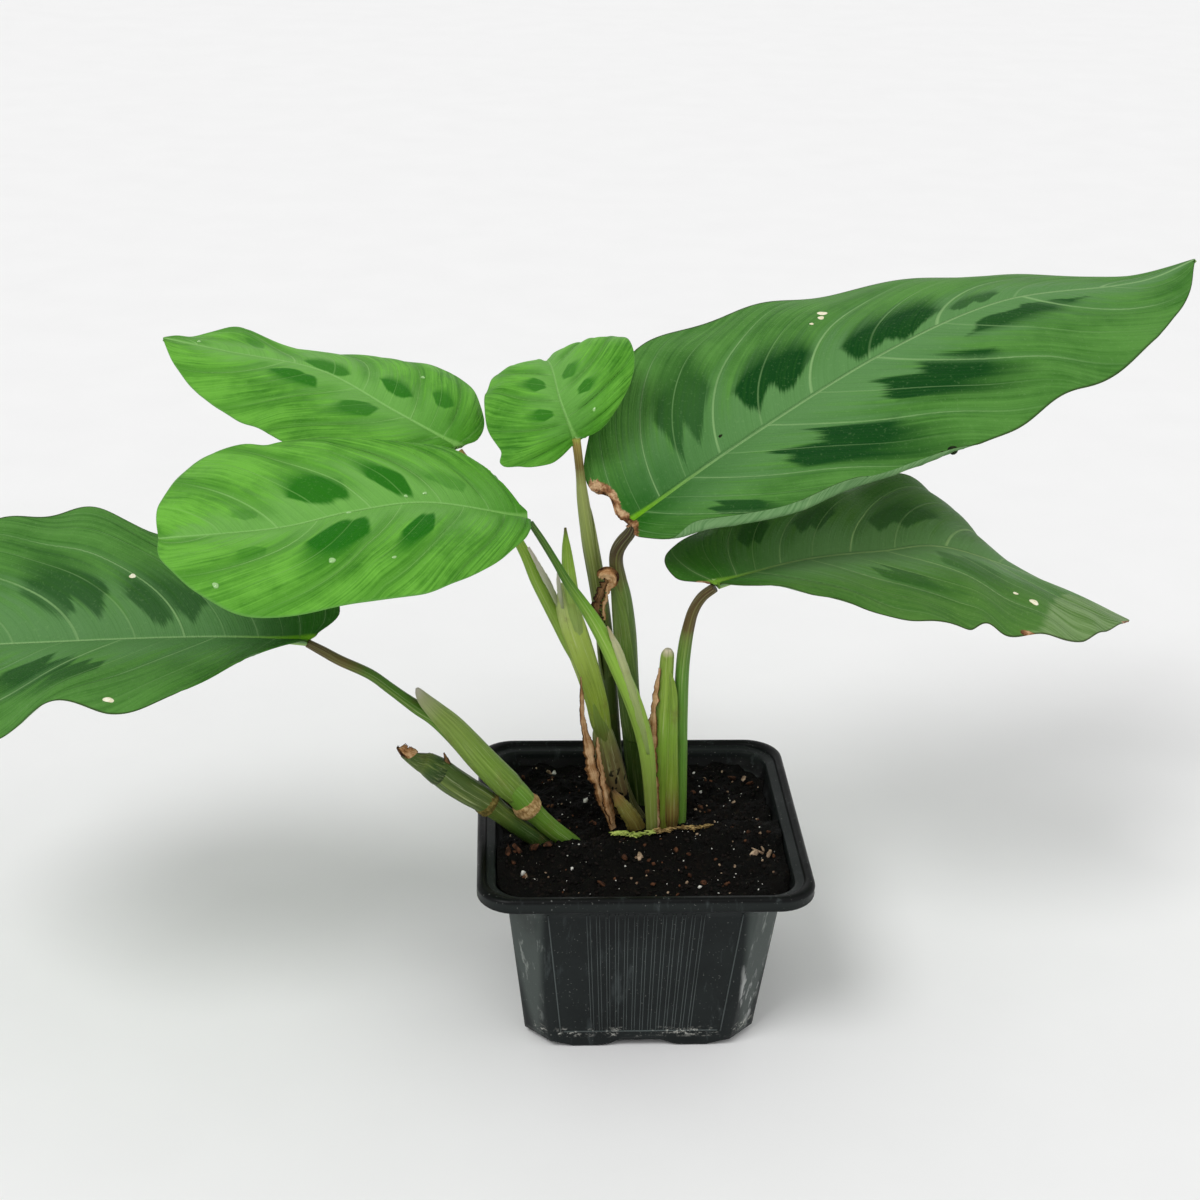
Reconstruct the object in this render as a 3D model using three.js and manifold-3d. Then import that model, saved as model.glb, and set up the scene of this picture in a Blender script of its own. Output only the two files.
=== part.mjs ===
// A prayer plant in its square nursery pot, in millimetres, +Z up.
// The origin is the middle of the pot's base, on the surface that it stands on.
// Six leaf blades stand on six stems that rise from one crown in the soil.
import * as THREE from 'three';
import Module from 'manifold-3d';
import { mergeVertices } from 'three/addons/utils/BufferGeometryUtils.js';

const wasm = await Module();
wasm.setup();

// ---- driving dimensions -------------------------------------------------
const RIM_HALF = 35;            // half the outer width of the rim
const POT_HEIGHT = 43.3;
const BASE_HALF = 24.7;         // half the width of the pot at its base
const SHOULDER_HALF = 28.7;     // half the width of the wall under the rim
const SHOULDER_Z = 36;
const MOUTH_HALF = 31.2;        // half the width of the mouth
const WALL = 1.1;
const LIP_Z = POT_HEIGHT - 3.2;  // underside of the rim
const MOUTH_Z = POT_HEIGHT - 1.4; // inner edge of the rim's sloping band
const BEAD = 1;                 // rounding along the top of the rim
const LIP_BEVEL = 0.4;          // rounding along the rim's lower edge
const CORNER_CUT = 5.5;         // cut corner of the body
const FOOT_CUT = 10;            // the corners are cut back further at the foot
const FOOT_Z = 1.6;             // height of that foot
const FOOT_FLARE = 0.1;
const SHOULDER_ROUND = 0.1;     // 0 is a straight cut corner, 1 a full radius
const NECK_ROUND = 0.7;
const RIM_CORNER = 8;           // corner radius of the rim
const MOUTH_CORNER = 6;         // corner radius of the mouth
const FLOOR_Z = 3;
const CHANNEL_DEPTH = 1.7;      // drainage channels under the base
const CHANNEL_TOP_HALF = 4;
const CHANNEL_FOOT_HALF = 9;
const PAD_RADIUS = 7;           // flat pad in the middle of the base
const DRAIN_RADIUS = 2.4;
const DRAIN_OFFSET = 14;
const DRAIN_SIDES = 12;

const GAP = 0.3;                // clearance between pieces that touch
const SOIL_EDGE_Z = 40.2;       // soil level along the front rim
const SOIL_BACK_Z = 36.5;       // soil level behind the crown
const RIDGE_HEIGHT = 1.6;       // low ridge in front of the crown
const RIDGE_Y = -7;             // where the ridge crosses x = 0
const RIDGE_SKEW = 0.2;
const RIDGE_WIDTH = 6;
const SLOPE_WIDTH = 7;          // the slope from the ridge down to the crown
const SOIL_CELLS = 16;

const BLADE = 0.8;              // thickness of a leaf blade
const RIB_DEPTH = 0.7;          // how far the midrib stands out underneath
const RIPPLE = 0.8;             // height of the waves along a leaf margin
const BLADE_ROWS = 22;
const BLADE_COLUMNS = 5;        // on each side of the midrib
const VEIN_SWEEP = 1.5;         // how strongly the rows sweep to the tip

// ---- materials ----------------------------------------------------------
const colour = (r, g, b) => new THREE.Color().setRGB(r, g, b);
const finish = (color, roughness) => new THREE.MeshStandardMaterial({ color, roughness, metalness: 0 });
const BLACK_PLASTIC = finish(colour(0.02, 0.025, 0.027), 0.45);
const PEAT = finish(colour(0.018, 0.013, 0.011), 0.95);
const MOSS = finish(colour(0.25, 0.26, 0.06), 0.9);
const DARK_LEAF = finish(colour(0.06, 0.21, 0.05), 0.4);
const LIGHT_LEAF = finish(colour(0.13, 0.42, 0.06), 0.4);
const PALE_STEM = finish(colour(0.33, 0.46, 0.14), 0.5);
const GREEN_STEM = finish(colour(0.14, 0.3, 0.05), 0.5);
const OLIVE_STEM = finish(colour(0.2, 0.21, 0.08), 0.5);
const DRY_HUSK = finish(colour(0.36, 0.2, 0.09), 0.8);

// ---- solids -------------------------------------------------------------
function toSolid(geometry) {
  const bare = geometry.clone();
  bare.deleteAttribute('normal');
  bare.deleteAttribute('uv');
  const merged = mergeVertices(bare, 1e-4);
  return new wasm.Manifold(new wasm.Mesh({
    numProp: 3,
    vertProperties: new Float32Array(merged.attributes.position.array),
    triVerts: new Uint32Array(merged.index.array),
  }));
}

function toGeometry(solid) {
  const mesh = solid.getMesh();
  return indexed(Array.from(mesh.vertProperties), Array.from(mesh.triVerts));
}

function indexed(positions, triangles) {
  const geometry = new THREE.BufferGeometry();
  geometry.setAttribute('position', new THREE.Float32BufferAttribute(positions, 3));
  geometry.setIndex(triangles);
  geometry.computeVertexNormals();
  return geometry;
}

// Skins closed rings of points into one solid, with a flat fan on each end.
function skinRings(rings) {
  const count = rings[0].length;
  const positions = [];
  const triangles = [];
  for (const ring of rings) {
    for (const point of ring) positions.push(point.x, point.y, point.z);
  }
  for (let r = 0; r + 1 < rings.length; r += 1) {
    for (let k = 0; k < count; k += 1) {
      const next = (k + 1) % count;
      const a = r * count + k;
      const b = r * count + next;
      triangles.push(a, b, b + count, a, b + count, a + count);
    }
  }
  addCap(positions, triangles, rings[0], 0, true);
  addCap(positions, triangles, rings.at(-1), (rings.length - 1) * count, false);
  return indexed(positions, triangles);
}

function addCap(positions, triangles, ring, start, flipped) {
  const centre = new THREE.Vector3();
  for (const point of ring) centre.add(point);
  centre.divideScalar(ring.length);
  const middle = positions.length / 3;
  positions.push(centre.x, centre.y, centre.z);
  for (let k = 0; k < ring.length; k += 1) {
    const a = start + k;
    const b = start + (k + 1) % ring.length;
    if (flipped) triangles.push(middle, b, a);
    else triangles.push(middle, a, b);
  }
}

// ---- pot ----------------------------------------------------------------
// One ring of the pot: a square with its corners either cut straight or rounded,
// moved inwards by the inset, which keeps the distance alike on sides and corners.
function squareRing(half, corner, roundness, z, inset = 0) {
  const CORNER_STEPS = 5;
  const CUT_SHRINK = 2 - Math.SQRT2;
  const outer = half - inset;
  const reach = corner - inset * THREE.MathUtils.lerp(CUT_SHRINK, 1, roundness);
  const ring = [];
  for (let side = 0; side < 4; side += 1) {
    const turn = side * Math.PI / 2;
    for (let k = 0; k <= CORNER_STEPS; k += 1) {
      const share = k / CORNER_STEPS;
      const angle = share * Math.PI / 2;
      const straight = new THREE.Vector2(outer - reach * share, outer - reach * (1 - share));
      const inner = outer - reach;
      const arc = new THREE.Vector2(inner + reach * Math.cos(angle), inner + reach * Math.sin(angle));
      const point = straight.lerp(arc, roundness).rotateAround(new THREE.Vector2(), turn);
      ring.push(new THREE.Vector3(point.x, point.y, z));
    }
  }
  return ring;
}

// The inside of the pot from its floor to its mouth, moved inwards and up by the inset.
function cavityRings(inset) {
  return [
    squareRing(BASE_HALF, CORNER_CUT, 0, FLOOR_Z + inset, WALL + inset),
    squareRing(SHOULDER_HALF, CORNER_CUT, SHOULDER_ROUND, SHOULDER_Z + inset, WALL + inset),
    squareRing(MOUTH_HALF, MOUTH_CORNER, NECK_ROUND, LIP_Z + inset, GAP + inset),
    squareRing(MOUTH_HALF, MOUTH_CORNER, 1, MOUTH_Z + inset, inset),
  ];
}

function potShell() {
  return skinRings([
    squareRing(BASE_HALF, FOOT_CUT, 0, 0),
    squareRing(BASE_HALF + FOOT_FLARE, CORNER_CUT, 0, FOOT_Z),
    squareRing(SHOULDER_HALF, CORNER_CUT, SHOULDER_ROUND, SHOULDER_Z),
    squareRing(MOUTH_HALF + WALL, RIM_CORNER, NECK_ROUND, LIP_Z - WALL),
    squareRing(RIM_HALF - WALL, RIM_CORNER, 1, LIP_Z),
    squareRing(RIM_HALF - LIP_BEVEL, RIM_CORNER, 1, LIP_Z),
    squareRing(RIM_HALF, RIM_CORNER, 1, LIP_Z + LIP_BEVEL),
    squareRing(RIM_HALF, RIM_CORNER, 1, POT_HEIGHT - BEAD),
    squareRing(RIM_HALF - BEAD, RIM_CORNER - BEAD / 2, 1, POT_HEIGHT),
    squareRing(RIM_HALF - 2 * BEAD, RIM_CORNER - BEAD, 1, POT_HEIGHT - GAP),
    ...cavityRings(0).reverse(),
  ]);
}

// A channel runs in from the middle of each side and stops short of the middle pad.
function drainageChannel(turn) {
  const BELOW = 0.34;
  const spread = CHANNEL_FOOT_HALF + BELOW * (CHANNEL_FOOT_HALF - CHANNEL_TOP_HALF) / CHANNEL_DEPTH;
  const section = new THREE.Shape([
    new THREE.Vector2(-spread, -BELOW),
    new THREE.Vector2(spread, -BELOW),
    new THREE.Vector2(CHANNEL_TOP_HALF, CHANNEL_DEPTH),
    new THREE.Vector2(-CHANNEL_TOP_HALF, CHANNEL_DEPTH),
  ]);
  const channel = new THREE.ExtrudeGeometry(section, { depth: BASE_HALF + 1 - PAD_RADIUS, bevelEnabled: false });
  channel.rotateX(Math.PI / 2);
  channel.translate(0, -PAD_RADIUS, 0);
  channel.rotateZ(turn);
  return toSolid(channel);
}

function drainHole(turn) {
  const hole = new THREE.CylinderGeometry(DRAIN_RADIUS, DRAIN_RADIUS, 3 * FLOOR_Z, DRAIN_SIDES);
  hole.rotateX(Math.PI / 2);
  hole.translate(0, -DRAIN_OFFSET, 0);
  hole.rotateZ(turn);
  return toSolid(hole);
}

function potGeometry() {
  let pot = toSolid(potShell());
  for (let side = 0; side < 4; side += 1) {
    const turn = side * Math.PI / 2;
    pot = pot.subtract(drainageChannel(turn)).subtract(drainHole(turn));
  }
  return toGeometry(pot);
}

// ---- soil ---------------------------------------------------------------
const smooth = (from, to, x) => THREE.MathUtils.smoothstep(x, from, to);

// Height of the soil: level at the front, a low ridge, then lower round the crown.
function soilHeight(x, y) {
  const ridgeY = RIDGE_Y + RIDGE_SKEW * x;
  const behind = smooth(ridgeY, ridgeY + SLOPE_WIDTH, y);
  const level = THREE.MathUtils.lerp(SOIL_EDGE_Z, SOIL_BACK_Z, behind);
  const ridge = RIDGE_HEIGHT * Math.exp(-(((y - ridgeY + 2) / RIDGE_WIDTH) ** 2)) * (1 - behind);
  const lumps = 0.35 * Math.sin(0.55 * x + 1.3) * Math.cos(0.47 * y) + 0.25 * Math.sin(1.1 * x - 0.9 * y);
  return level + ridge + lumps;
}

function soilBlock() {
  const size = 2 * RIM_HALF;
  const relief = new THREE.PlaneGeometry(size, size, SOIL_CELLS, SOIL_CELLS);
  const spots = relief.attributes.position;
  const top = [];
  for (let i = 0; i < spots.count; i += 1) {
    top.push(new THREE.Vector3(spots.getX(i), spots.getY(i), soilHeight(spots.getX(i), spots.getY(i))));
  }
  return toSolid(skinRings(cavityRings(GAP))).intersect(toSolid(reliefSolid(top, SOIL_CELLS)));
}

// Closes a square grid of heights down to a flat underside.
function reliefSolid(top, cells) {
  const side = cells + 1;
  const positions = [];
  const triangles = [];
  for (const point of top) positions.push(point.x, point.y, point.z);
  for (const point of top) positions.push(point.x, point.y, 0);
  const below = top.length;
  for (let row = 0; row < cells; row += 1) {
    for (let column = 0; column < cells; column += 1) {
      const a = row * side + column;
      const b = a + 1;
      const c = a + side;
      triangles.push(a, c, b, b, c, c + 1);
      triangles.push(below + a, below + b, below + c, below + b, below + c + 1, below + c);
    }
  }
  for (let k = 0; k < cells; k += 1) {
    const rims = [
      [k, k + 1],
      [cells * side + k + 1, cells * side + k],
      [(k + 1) * side, k * side],
      [k * side + cells, (k + 1) * side + cells],
    ];
    for (const [a, b] of rims) triangles.push(a, b, below + b, a, below + b, below + a);
  }
  return indexed(positions, triangles);
}

// ---- stems --------------------------------------------------------------
// A stem is a row of stations from its foot in the soil: x, y, z, radius.
function stemRings(stations, sides, clearance, steps) {
  const path = new THREE.CatmullRomCurve3(stations.map(([x, y, z]) => new THREE.Vector3(x, y, z)));
  path.curveType = 'catmullrom';
  const girth = new THREE.SplineCurve(stations.map(([, , , radius], i) => new THREE.Vector2(i, radius)));
  const frames = path.computeFrenetFrames(steps, false);
  const rings = [];
  for (let k = 0; k <= steps; k += 1) {
    const share = path.getUtoTmapping(k / steps);
    const middle = path.getPoint(share);
    const radius = girth.getPoint(share).y + clearance;
    const ring = [];
    for (let s = 0; s < sides; s += 1) {
      const angle = 2 * Math.PI * s / sides;
      ring.push(middle.clone()
        .addScaledVector(frames.normals[k], radius * Math.cos(angle))
        .addScaledVector(frames.binormals[k], radius * Math.sin(angle)));
    }
    rings.push(ring);
  }
  return rings;
}

const stemGeometry = ({ stations, sides = 8, steps = 20 }) => skinRings(stemRings(stations, sides, 0, steps));

// The hole that a stem stands in: its first stretch, a little wider and deeper.
function stemHole({ stations, sides = 8 }) {
  const BREAKOUT = 10;
  const foot = new THREE.Vector3(...stations[0]);
  const above = new THREE.Vector3(...stations[1]);
  const along = above.clone().sub(foot).normalize();
  const start = foot.clone().addScaledVector(along, -GAP);
  const end = above.clone().addScaledVector(along, BREAKOUT);
  const radius = Math.max(stations[0][3], stations[1][3]) / Math.cos(Math.PI / sides) + GAP;
  const straight = [[...start.toArray(), radius], [...end.toArray(), radius]];
  return toSolid(skinRings(stemRings(straight, sides + 3, 0, 1)));
}

const STEMS = {
  stem_right: {
    material: GREEN_STEM,
    stations: [
      [1.6, 13, 27, 2.2], [1.4, 13, 36.8, 2.2], [-1.3, 11, 65.6, 2], [-3, 10, 78, 1.8], [-4.4, 8, 91, 1.5],
      [-5.2, 6.3, 100, 1.3], [-4.6, 5.4, 104.4, 1.3], [-3.3, 5.1, 107.1, 1.1],
    ],
  },
  stem_lower_right: {
    material: GREEN_STEM,
    stations: [
      [8.1, 4.1, 28, 2.9], [7.9, 4, 39.3, 3], [7.2, 3.6, 57, 2.8], [7, 3.3, 69.4, 2.6], [6.9, 2.8, 78.5, 2.3],
      [7.7, 2.2, 81.5, 1.5], [8.2, 1.8, 85.3, 1.15], [8.8, 1.2, 90.4, 1.1], [9.7, 0.6, 93.2, 1.1],
      [12, 0, 96.2, 1.1], [14.4, -0.2, 97, 0.9],
    ],
  },
  stem_centre: {
    material: OLIVE_STEM,
    stations: [
      [-3.4, 15.2, 27, 1.8], [-4, 14.8, 40, 1.8], [-8, 12, 84.4, 1.6], [-9.3, 11, 94.2, 1.5],
      [-11.2, 10.5, 103.6, 1.4], [-12.8, 10, 115.1, 1.2], [-14.1, 9.5, 124.7, 0.8],
    ],
  },
  stem_upper_left: {
    material: PALE_STEM,
    stations: [
      [1.4, 7.4, 27, 2.4], [1, 7, 38.9, 2.5], [-1.7, 6.5, 46.3, 2.7], [-4.3, 5.8, 53.7, 2.6], [-7.5, 5, 65, 1.8],
      [-10.2, 5, 73.4, 2], [-12.7, 5, 82, 2.5], [-17.1, 5.6, 91.9, 2.6], [-20, 6.2, 96.3, 2.3],
      [-22.8, 7.2, 100.4, 1.7], [-25.9, 8, 103.5, 1.1], [-35.5, 12, 118.3, 1.1], [-38.6, 13.7, 122.3, 0.8],
    ],
  },
  stem_front_left: {
    material: PALE_STEM,
    stations: [
      [3.1, -1.9, 29, 1.7], [2.9, -2, 39.8, 1.7], [2.6, -2, 47, 1.6], [1, -2, 64, 1.7], [-2.3, -2, 74, 1.8],
      [-6.1, -2.4, 82.9, 1.8], [-9.6, -3, 91.2, 1.4], [-14.8, -3.5, 98.7, 1], [-17.9, -4, 103.6, 1],
      [-24.1, -4.2, 113.6, 0.8],
    ],
  },
  stem_far_left: {
    material: GREEN_STEM,
    stations: [
      [-8.2, -3, 32, 1.9], [-13.9, -4, 38, 1.9], [-22.9, -5.8, 47.3, 2], [-24.3, -6, 48.8, 3],
      [-27, -6.2, 52, 2.7], [-36.5, -7, 64.2, 2.7], [-46, -7, 74.4, 2.1], [-49.5, -7, 76.9, 1.3],
      [-61, -6.6, 83.4, 1.2], [-68.7, -6.1, 87.7, 0.9],
    ],
  },
  broken_stem: {
    material: GREEN_STEM,
    stations: [
      [-14.8, -3.2, 32.8, 1.8], [-20.4, -4.4, 38, 1.8], [-33, -6.9, 49.2, 1.9], [-34.5, -7.1, 50.6, 2.6],
      [-37, -7.4, 53.4, 2.8], [-43, -8, 58.8, 2.4], [-48.8, -8.2, 62.8, 1],
    ],
  },
  rolled_leaf: {
    material: PALE_STEM,
    sides: 7,
    stations: [
      [-12.4, 2, 83.4, 0.6], [-14.5, 2, 91.7, 1], [-15.8, 2, 99.2, 1.2], [-16.3, 2, 103.7, 1], [-16.7, 2, 109.8, 0.3],
    ],
  },
  bract: {
    material: PALE_STEM,
    sides: 7,
    stations: [[-0.7, 0.4, 33, 1.1], [-1.1, 0.3, 40, 1.2], [-2.9, 0.1, 43.6, 1], [-5.2, -0.2, 47.6, 0.4]],
  },
};

// ---- dried sheaths ------------------------------------------------------
// A dried sheath is a curled strip: stations of x, y, z, half width, half thickness.
const HUSKS = {
  dry_sheath_tall: {
    facing: [0.35, -1, 0],
    stations: [
      [-3.9, 1.2, 34, 1, 0.45], [-4.5, 1.2, 40.3, 1.1, 0.4], [-6, 1.2, 44.7, 1.3, 0.4], [-8.6, 1.2, 53.7, 1.5, 0.4],
      [-10.6, 1.4, 62.4, 1.4, 0.4], [-12, 1.6, 66.5, 0.9, 0.4], [-12.6, 1.8, 74.1, 0.4, 0.35],
    ],
  },
  dry_sheath_upper: {
    facing: [0.2, -1, 0],
    stations: [
      [-5.9, 8.2, 79, 0.5, 0.4], [-6.7, 8.7, 86, 0.9, 0.4], [-7.8, 8.7, 92, 0.9, 0.4], [-7.4, 8.2, 98, 1.6, 0.4],
    ],
  },
  dry_sheath_right: {
    facing: [-1, -0.35, 0],
    stations: [
      [3.8, 2.4, 34, 0.9, 0.35], [3.7, 2.3, 44.2, 1, 0.35], [3.8, 2.2, 53.2, 1.2, 0.35], [3.8, 2.1, 62.2, 1.3, 0.35],
      [4, 1.9, 69.9, 1.1, 0.35], [4, 1.9, 76.6, 0.4, 0.3],
    ],
  },
};

function huskGeometry({ facing, stations }) {
  const STEPS = 16;
  const SIDES = 8;
  const path = new THREE.CatmullRomCurve3(stations.map(([x, y, z]) => new THREE.Vector3(x, y, z)));
  path.curveType = 'catmullrom';
  const sizes = new THREE.SplineCurve(stations.map(([, , , width, depth]) => new THREE.Vector2(width, depth)));
  const rings = [];
  for (let k = 0; k <= STEPS; k += 1) {
    const share = k / STEPS;
    const middle = path.getPoint(share);
    const along = path.getTangent(share);
    const across = new THREE.Vector3(...facing).cross(along).normalize();
    const outward = along.clone().cross(across);
    const size = sizes.getPoint(share);
    const ring = [];
    for (let s = 0; s < SIDES; s += 1) {
      const angle = 2 * Math.PI * s / SIDES;
      ring.push(middle.clone()
        .addScaledVector(across, size.x * Math.cos(angle))
        .addScaledVector(outward, size.y * Math.sin(angle)));
    }
    rings.push(ring);
  }
  return skinRings(rings);
}

// ---- leaf blades --------------------------------------------------------
// Each blade is a flat outline bent along its midrib. The midrib is a spline in
// space. The lifts tilt each half out of the level, in degrees, at even steps
// from base to tip. An edge is a row of [distance along the midrib, half width],
// and it starts behind the base where the blade has lobes.
const BLADES = {
  leaf_right: {
    material: DARK_LEAF, fullHalf: 33, arch: 1.5, waves: 5,
    rib: [[-4, 5, 109.5], [21, 20, 122], [52.5, 36, 136.5], [80.5, 47, 145.5], [108, 55, 147], [118, 57.5, 148.4],
      [127.5, 60, 152]],
    liftLeft: [36, 26, 12, -1, -9, -15],
    liftRight: [-8, -12, -20, -24, -24, -20],
    left: [[-0.3, 1.5], [-1, 11], [5, 18], [20, 29], [38, 35], [62, 34], [90, 29], [115, 20], [135, 9], [150.5, 0.5]],
    right: [[-0.8, 3], [-1, 7], [5, 16], [20, 26], [43, 32.5], [70, 33.5], [98, 31.5], [117, 28], [133, 18.5],
      [143, 10], [150.5, 0.5]],
  },
  leaf_lower_right: {
    material: DARK_LEAF, fullHalf: 28, arch: 1.5, waves: 6,
    rib: [[15, 0, 98.5], [33.5, 8, 100], [51.5, 14, 99.5], [67.5, 18, 98.5], [93.5, 21, 88], [109.5, 20, 80.5]],
    liftLeft: [15, 15, 14, 8, -35, -35],
    liftRight: [0, -8, -12, -12, -8, -5],
    left: [[-2, 0.8], [-8, 3.5], [-6, 11], [10, 16.5], [25, 20], [42, 24], [60, 26], [78, 23], [92, 13], [102, 0.5]],
    right: [[0, 1], [3, 6], [11, 13], [22, 21], [38, 27.5], [55, 28.5], [68, 28], [81, 24.5], [93, 15], [102, 0.5]],
  },
  leaf_centre: {
    material: LIGHT_LEAF, fullHalf: 18, arch: 0.8, waves: 3,
    rib: [[-14.5, 10, 126], [-17.5, 16, 132.5], [-19, 24, 136.5], [-20, 32, 136], [-20.5, 44, 131]],
    liftLeft: [-20, -20, -20, -20, -20, -20],
    liftRight: [25, 24, 22, 20, 18, 15],
    left: [[-0.8, 0.8], [-3.5, 7], [-1.5, 14], [6, 16], [16, 15.5], [27, 12], [35, 6], [39.5, 0.5]],
    right: [[0, 0.8], [0.5, 6], [7, 14], [13, 17], [20, 16.5], [28, 12], [35, 6], [39.5, 0.5]],
  },
  leaf_upper_left: {
    material: LIGHT_LEAF, fullHalf: 22, arch: 1, waves: 4,
    rib: [[-39, 14, 123.5], [-52, 21, 128.5], [-68.5, 33, 133.5], [-89, 41, 135], [-103, 44, 137]],
    liftLeft: [-25, -25, -25, -25, -25, -25],
    liftRight: [12, 8, -2, -14, -10, 0],
    left: [[0, 1], [3.5, 9], [12, 16], [30, 20.5], [46, 20], [58, 15.5], [67, 9.5], [73, 0.5]],
    right: [[-0.8, 0.6], [-2.5, 4], [0, 10], [10, 19.5], [25, 20.5], [42, 20], [57, 15], [67, 8], [73, 0.5]],
  },
  leaf_front_left: {
    material: LIGHT_LEAF, fullHalf: 28, arch: 1.5, waves: 4,
    rib: [[-24.5, -4, 114.5], [-44, -10, 120], [-59, -15, 120], [-73.5, -19, 118], [-95.5, -22, 117]],
    liftLeft: [-14, -16, -16, -16, -16, -16],
    liftRight: [20, 20, 18, 16, 14, 12],
    left: [[0, 2], [4, 11], [16, 23], [30, 27.5], [46, 26.5], [58, 26], [68, 18], [74, 8], [74.5, 0.5]],
    right: [[0, 1.5], [5, 6.5], [12, 15], [25, 18], [41, 25], [57, 30], [67, 25], [74, 10], [74.5, 0.5]],
  },
  leaf_far_left: {
    material: DARK_LEAF, fullHalf: 33, arch: 1.5, waves: 5,
    rib: [[-69.5, -6, 88.5], [-91.5, -4, 88], [-121, -1, 85.5], [-146, 1, 83], [-174, 3, 78]],
    liftLeft: [0, -2, 0, -8, -14, -12],
    liftRight: [30, 32, 34, 32, 28, 20],
    left: [[0, 1], [7, 6.5], [13, 16], [22, 28], [32, 32.5], [44, 30], [55, 36], [68, 35], [82, 28], [96, 15],
      [105, 0.5]],
    right: [[-1.5, 0.9], [-6, 6], [-1, 14], [14, 20.5], [34, 25.5], [50, 33], [68, 32.5], [83, 30], [95, 21],
      [105, 0.5]],
  },
};

const ribCurves = new Map();
function ribOf(blade) {
  if (!ribCurves.has(blade)) {
    const curve = new THREE.CatmullRomCurve3(blade.rib.map((p) => new THREE.Vector3(...p)), false, 'catmullrom', 0.5);
    ribCurves.set(blade, { curve, length: curve.getLength() });
  }
  return ribCurves.get(blade);
}

// A point of the blade: along the midrib, across it, side -1 left or 1 right.
function bladePoint(blade, along, across, side) {
  const { curve, length } = ribOf(blade);
  const share = THREE.MathUtils.clamp(along / length, 0, 1);
  const tangent = curve.getTangentAt(share);
  const level = tangent.clone().cross(new THREE.Vector3(0, 0, 1)).normalize();
  const upward = level.clone().cross(tangent);
  const lifts = side < 0 ? blade.liftLeft : blade.liftRight;
  const tilt = new THREE.SplineCurve(lifts.map((lift, i) => new THREE.Vector2(i, lift))).getPoint(share).y;
  const angle = THREE.MathUtils.degToRad(tilt);
  const spread = Math.min(across / blade.fullHalf, 1);
  const phase = side < 0 ? 1.3 : 0;
  const wave = RIPPLE * spread ** 2 * Math.sin(2 * Math.PI * blade.waves * share + phase);
  return curve.getPointAt(share)
    .addScaledVector(tangent, along - share * length)
    .addScaledVector(level, side * across * Math.cos(angle))
    .addScaledVector(upward, across * Math.sin(angle) + 4 * blade.arch * spread * (1 - spread) + wave);
}

// The middle surface of a blade, row by row from base to tip.
function bladeGrid(blade) {
  const { length } = ribOf(blade);
  const edges = [blade.left, blade.right].map((edge) => new THREE.SplineCurve(edge.map((p) => new THREE.Vector2(...p))));
  const points = [];
  for (let row = 0; row <= BLADE_ROWS; row += 1) {
    const share = row / BLADE_ROWS;
    const foot = length * share ** VEIN_SWEEP;
    for (let column = -BLADE_COLUMNS; column <= BLADE_COLUMNS; column += 1) {
      const side = column < 0 ? -1 : 1;
      const edge = edges[column < 0 ? 0 : 1].getPointAt(share);
      const reach = Math.abs(column) / BLADE_COLUMNS;
      points.push(bladePoint(blade, THREE.MathUtils.lerp(foot, edge.x, reach), edge.y * reach, side));
    }
  }
  return points;
}

function bladeGeometry(blade) {
  const columns = 2 * BLADE_COLUMNS + 1;
  const grid = bladeGrid(blade);
  const faces = [];
  for (let row = 0; row < BLADE_ROWS; row += 1) {
    for (let column = 0; column + 1 < columns; column += 1) {
      const a = row * columns + column;
      faces.push([a, a + columns + 1, a + 1], [a, a + columns, a + columns + 1]);
    }
  }
  const sheet = indexed(grid.flatMap((p) => p.toArray()), faces.flat());
  const normals = sheet.attributes.normal;
  const positions = [];
  for (const [side, half] of [[1, BLADE / 2], [-1, BLADE / 2]]) {
    grid.forEach((point, i) => {
      const row = Math.floor(i / columns);
      const onRib = i % columns === BLADE_COLUMNS && side < 0;
      const depth = half + (onRib ? RIB_DEPTH * (1 - row / BLADE_ROWS) : 0);
      const normal = new THREE.Vector3(normals.getX(i), normals.getY(i), normals.getZ(i));
      positions.push(...point.clone().addScaledVector(normal, side * depth).toArray());
    });
  }
  const below = grid.length;
  const triangles = [];
  for (const [a, b, c] of faces) triangles.push(a, b, c, below + a, below + c, below + b);
  for (const [a, b] of borderOf(columns)) triangles.push(b, a, below + a, b, below + a, below + b);
  return indexed(positions, triangles);
}

// The border of the grid as directed edges, in the direction that the faces run.
function borderOf(columns) {
  const border = [];
  const last = BLADE_ROWS * columns;
  for (let k = 0; k + 1 < columns; k += 1) {
    border.push([k + 1, k], [last + k, last + k + 1]);
  }
  for (let row = 0; row < BLADE_ROWS; row += 1) {
    const a = row * columns;
    border.push([a, a + columns], [a + 2 * columns - 1, a + columns - 1]);
  }
  return border;
}

// ---- moss ---------------------------------------------------------------
// A low strand of moss and fine roots that lies along the ridge of the soil.
function mossGeometry() {
  const SPAN = [-5, 15];
  const STATIONS = 12;
  const CLEAR = GAP + 0.15;
  const stations = [];
  for (let k = 0; k < STATIONS; k += 1) {
    const x = THREE.MathUtils.lerp(...SPAN, k / (STATIONS - 1));
    const y = RIDGE_Y + 1 + RIDGE_SKEW * x + 0.9 * Math.sin(0.9 * k);
    const radius = 0.5 + 0.25 * Math.cos(2.1 * k);
    stations.push([x, y, soilHeight(x, y) + radius + CLEAR, radius]);
  }
  return stemGeometry({ stations, sides: 7, steps: 3 * (STATIONS - 1) });
}

// ---- assembly -----------------------------------------------------------
function soilGeometry() {
  let soil = soilBlock();
  for (const stem of Object.values(STEMS)) {
    if (stem.stations[0][2] < SOIL_BACK_Z) soil = soil.subtract(stemHole(stem));
  }
  for (const husk of Object.values(HUSKS)) {
    if (husk.stations[0][2] < SOIL_BACK_Z) soil = soil.subtract(huskHole(husk));
  }
  return toGeometry(soil);
}

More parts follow.
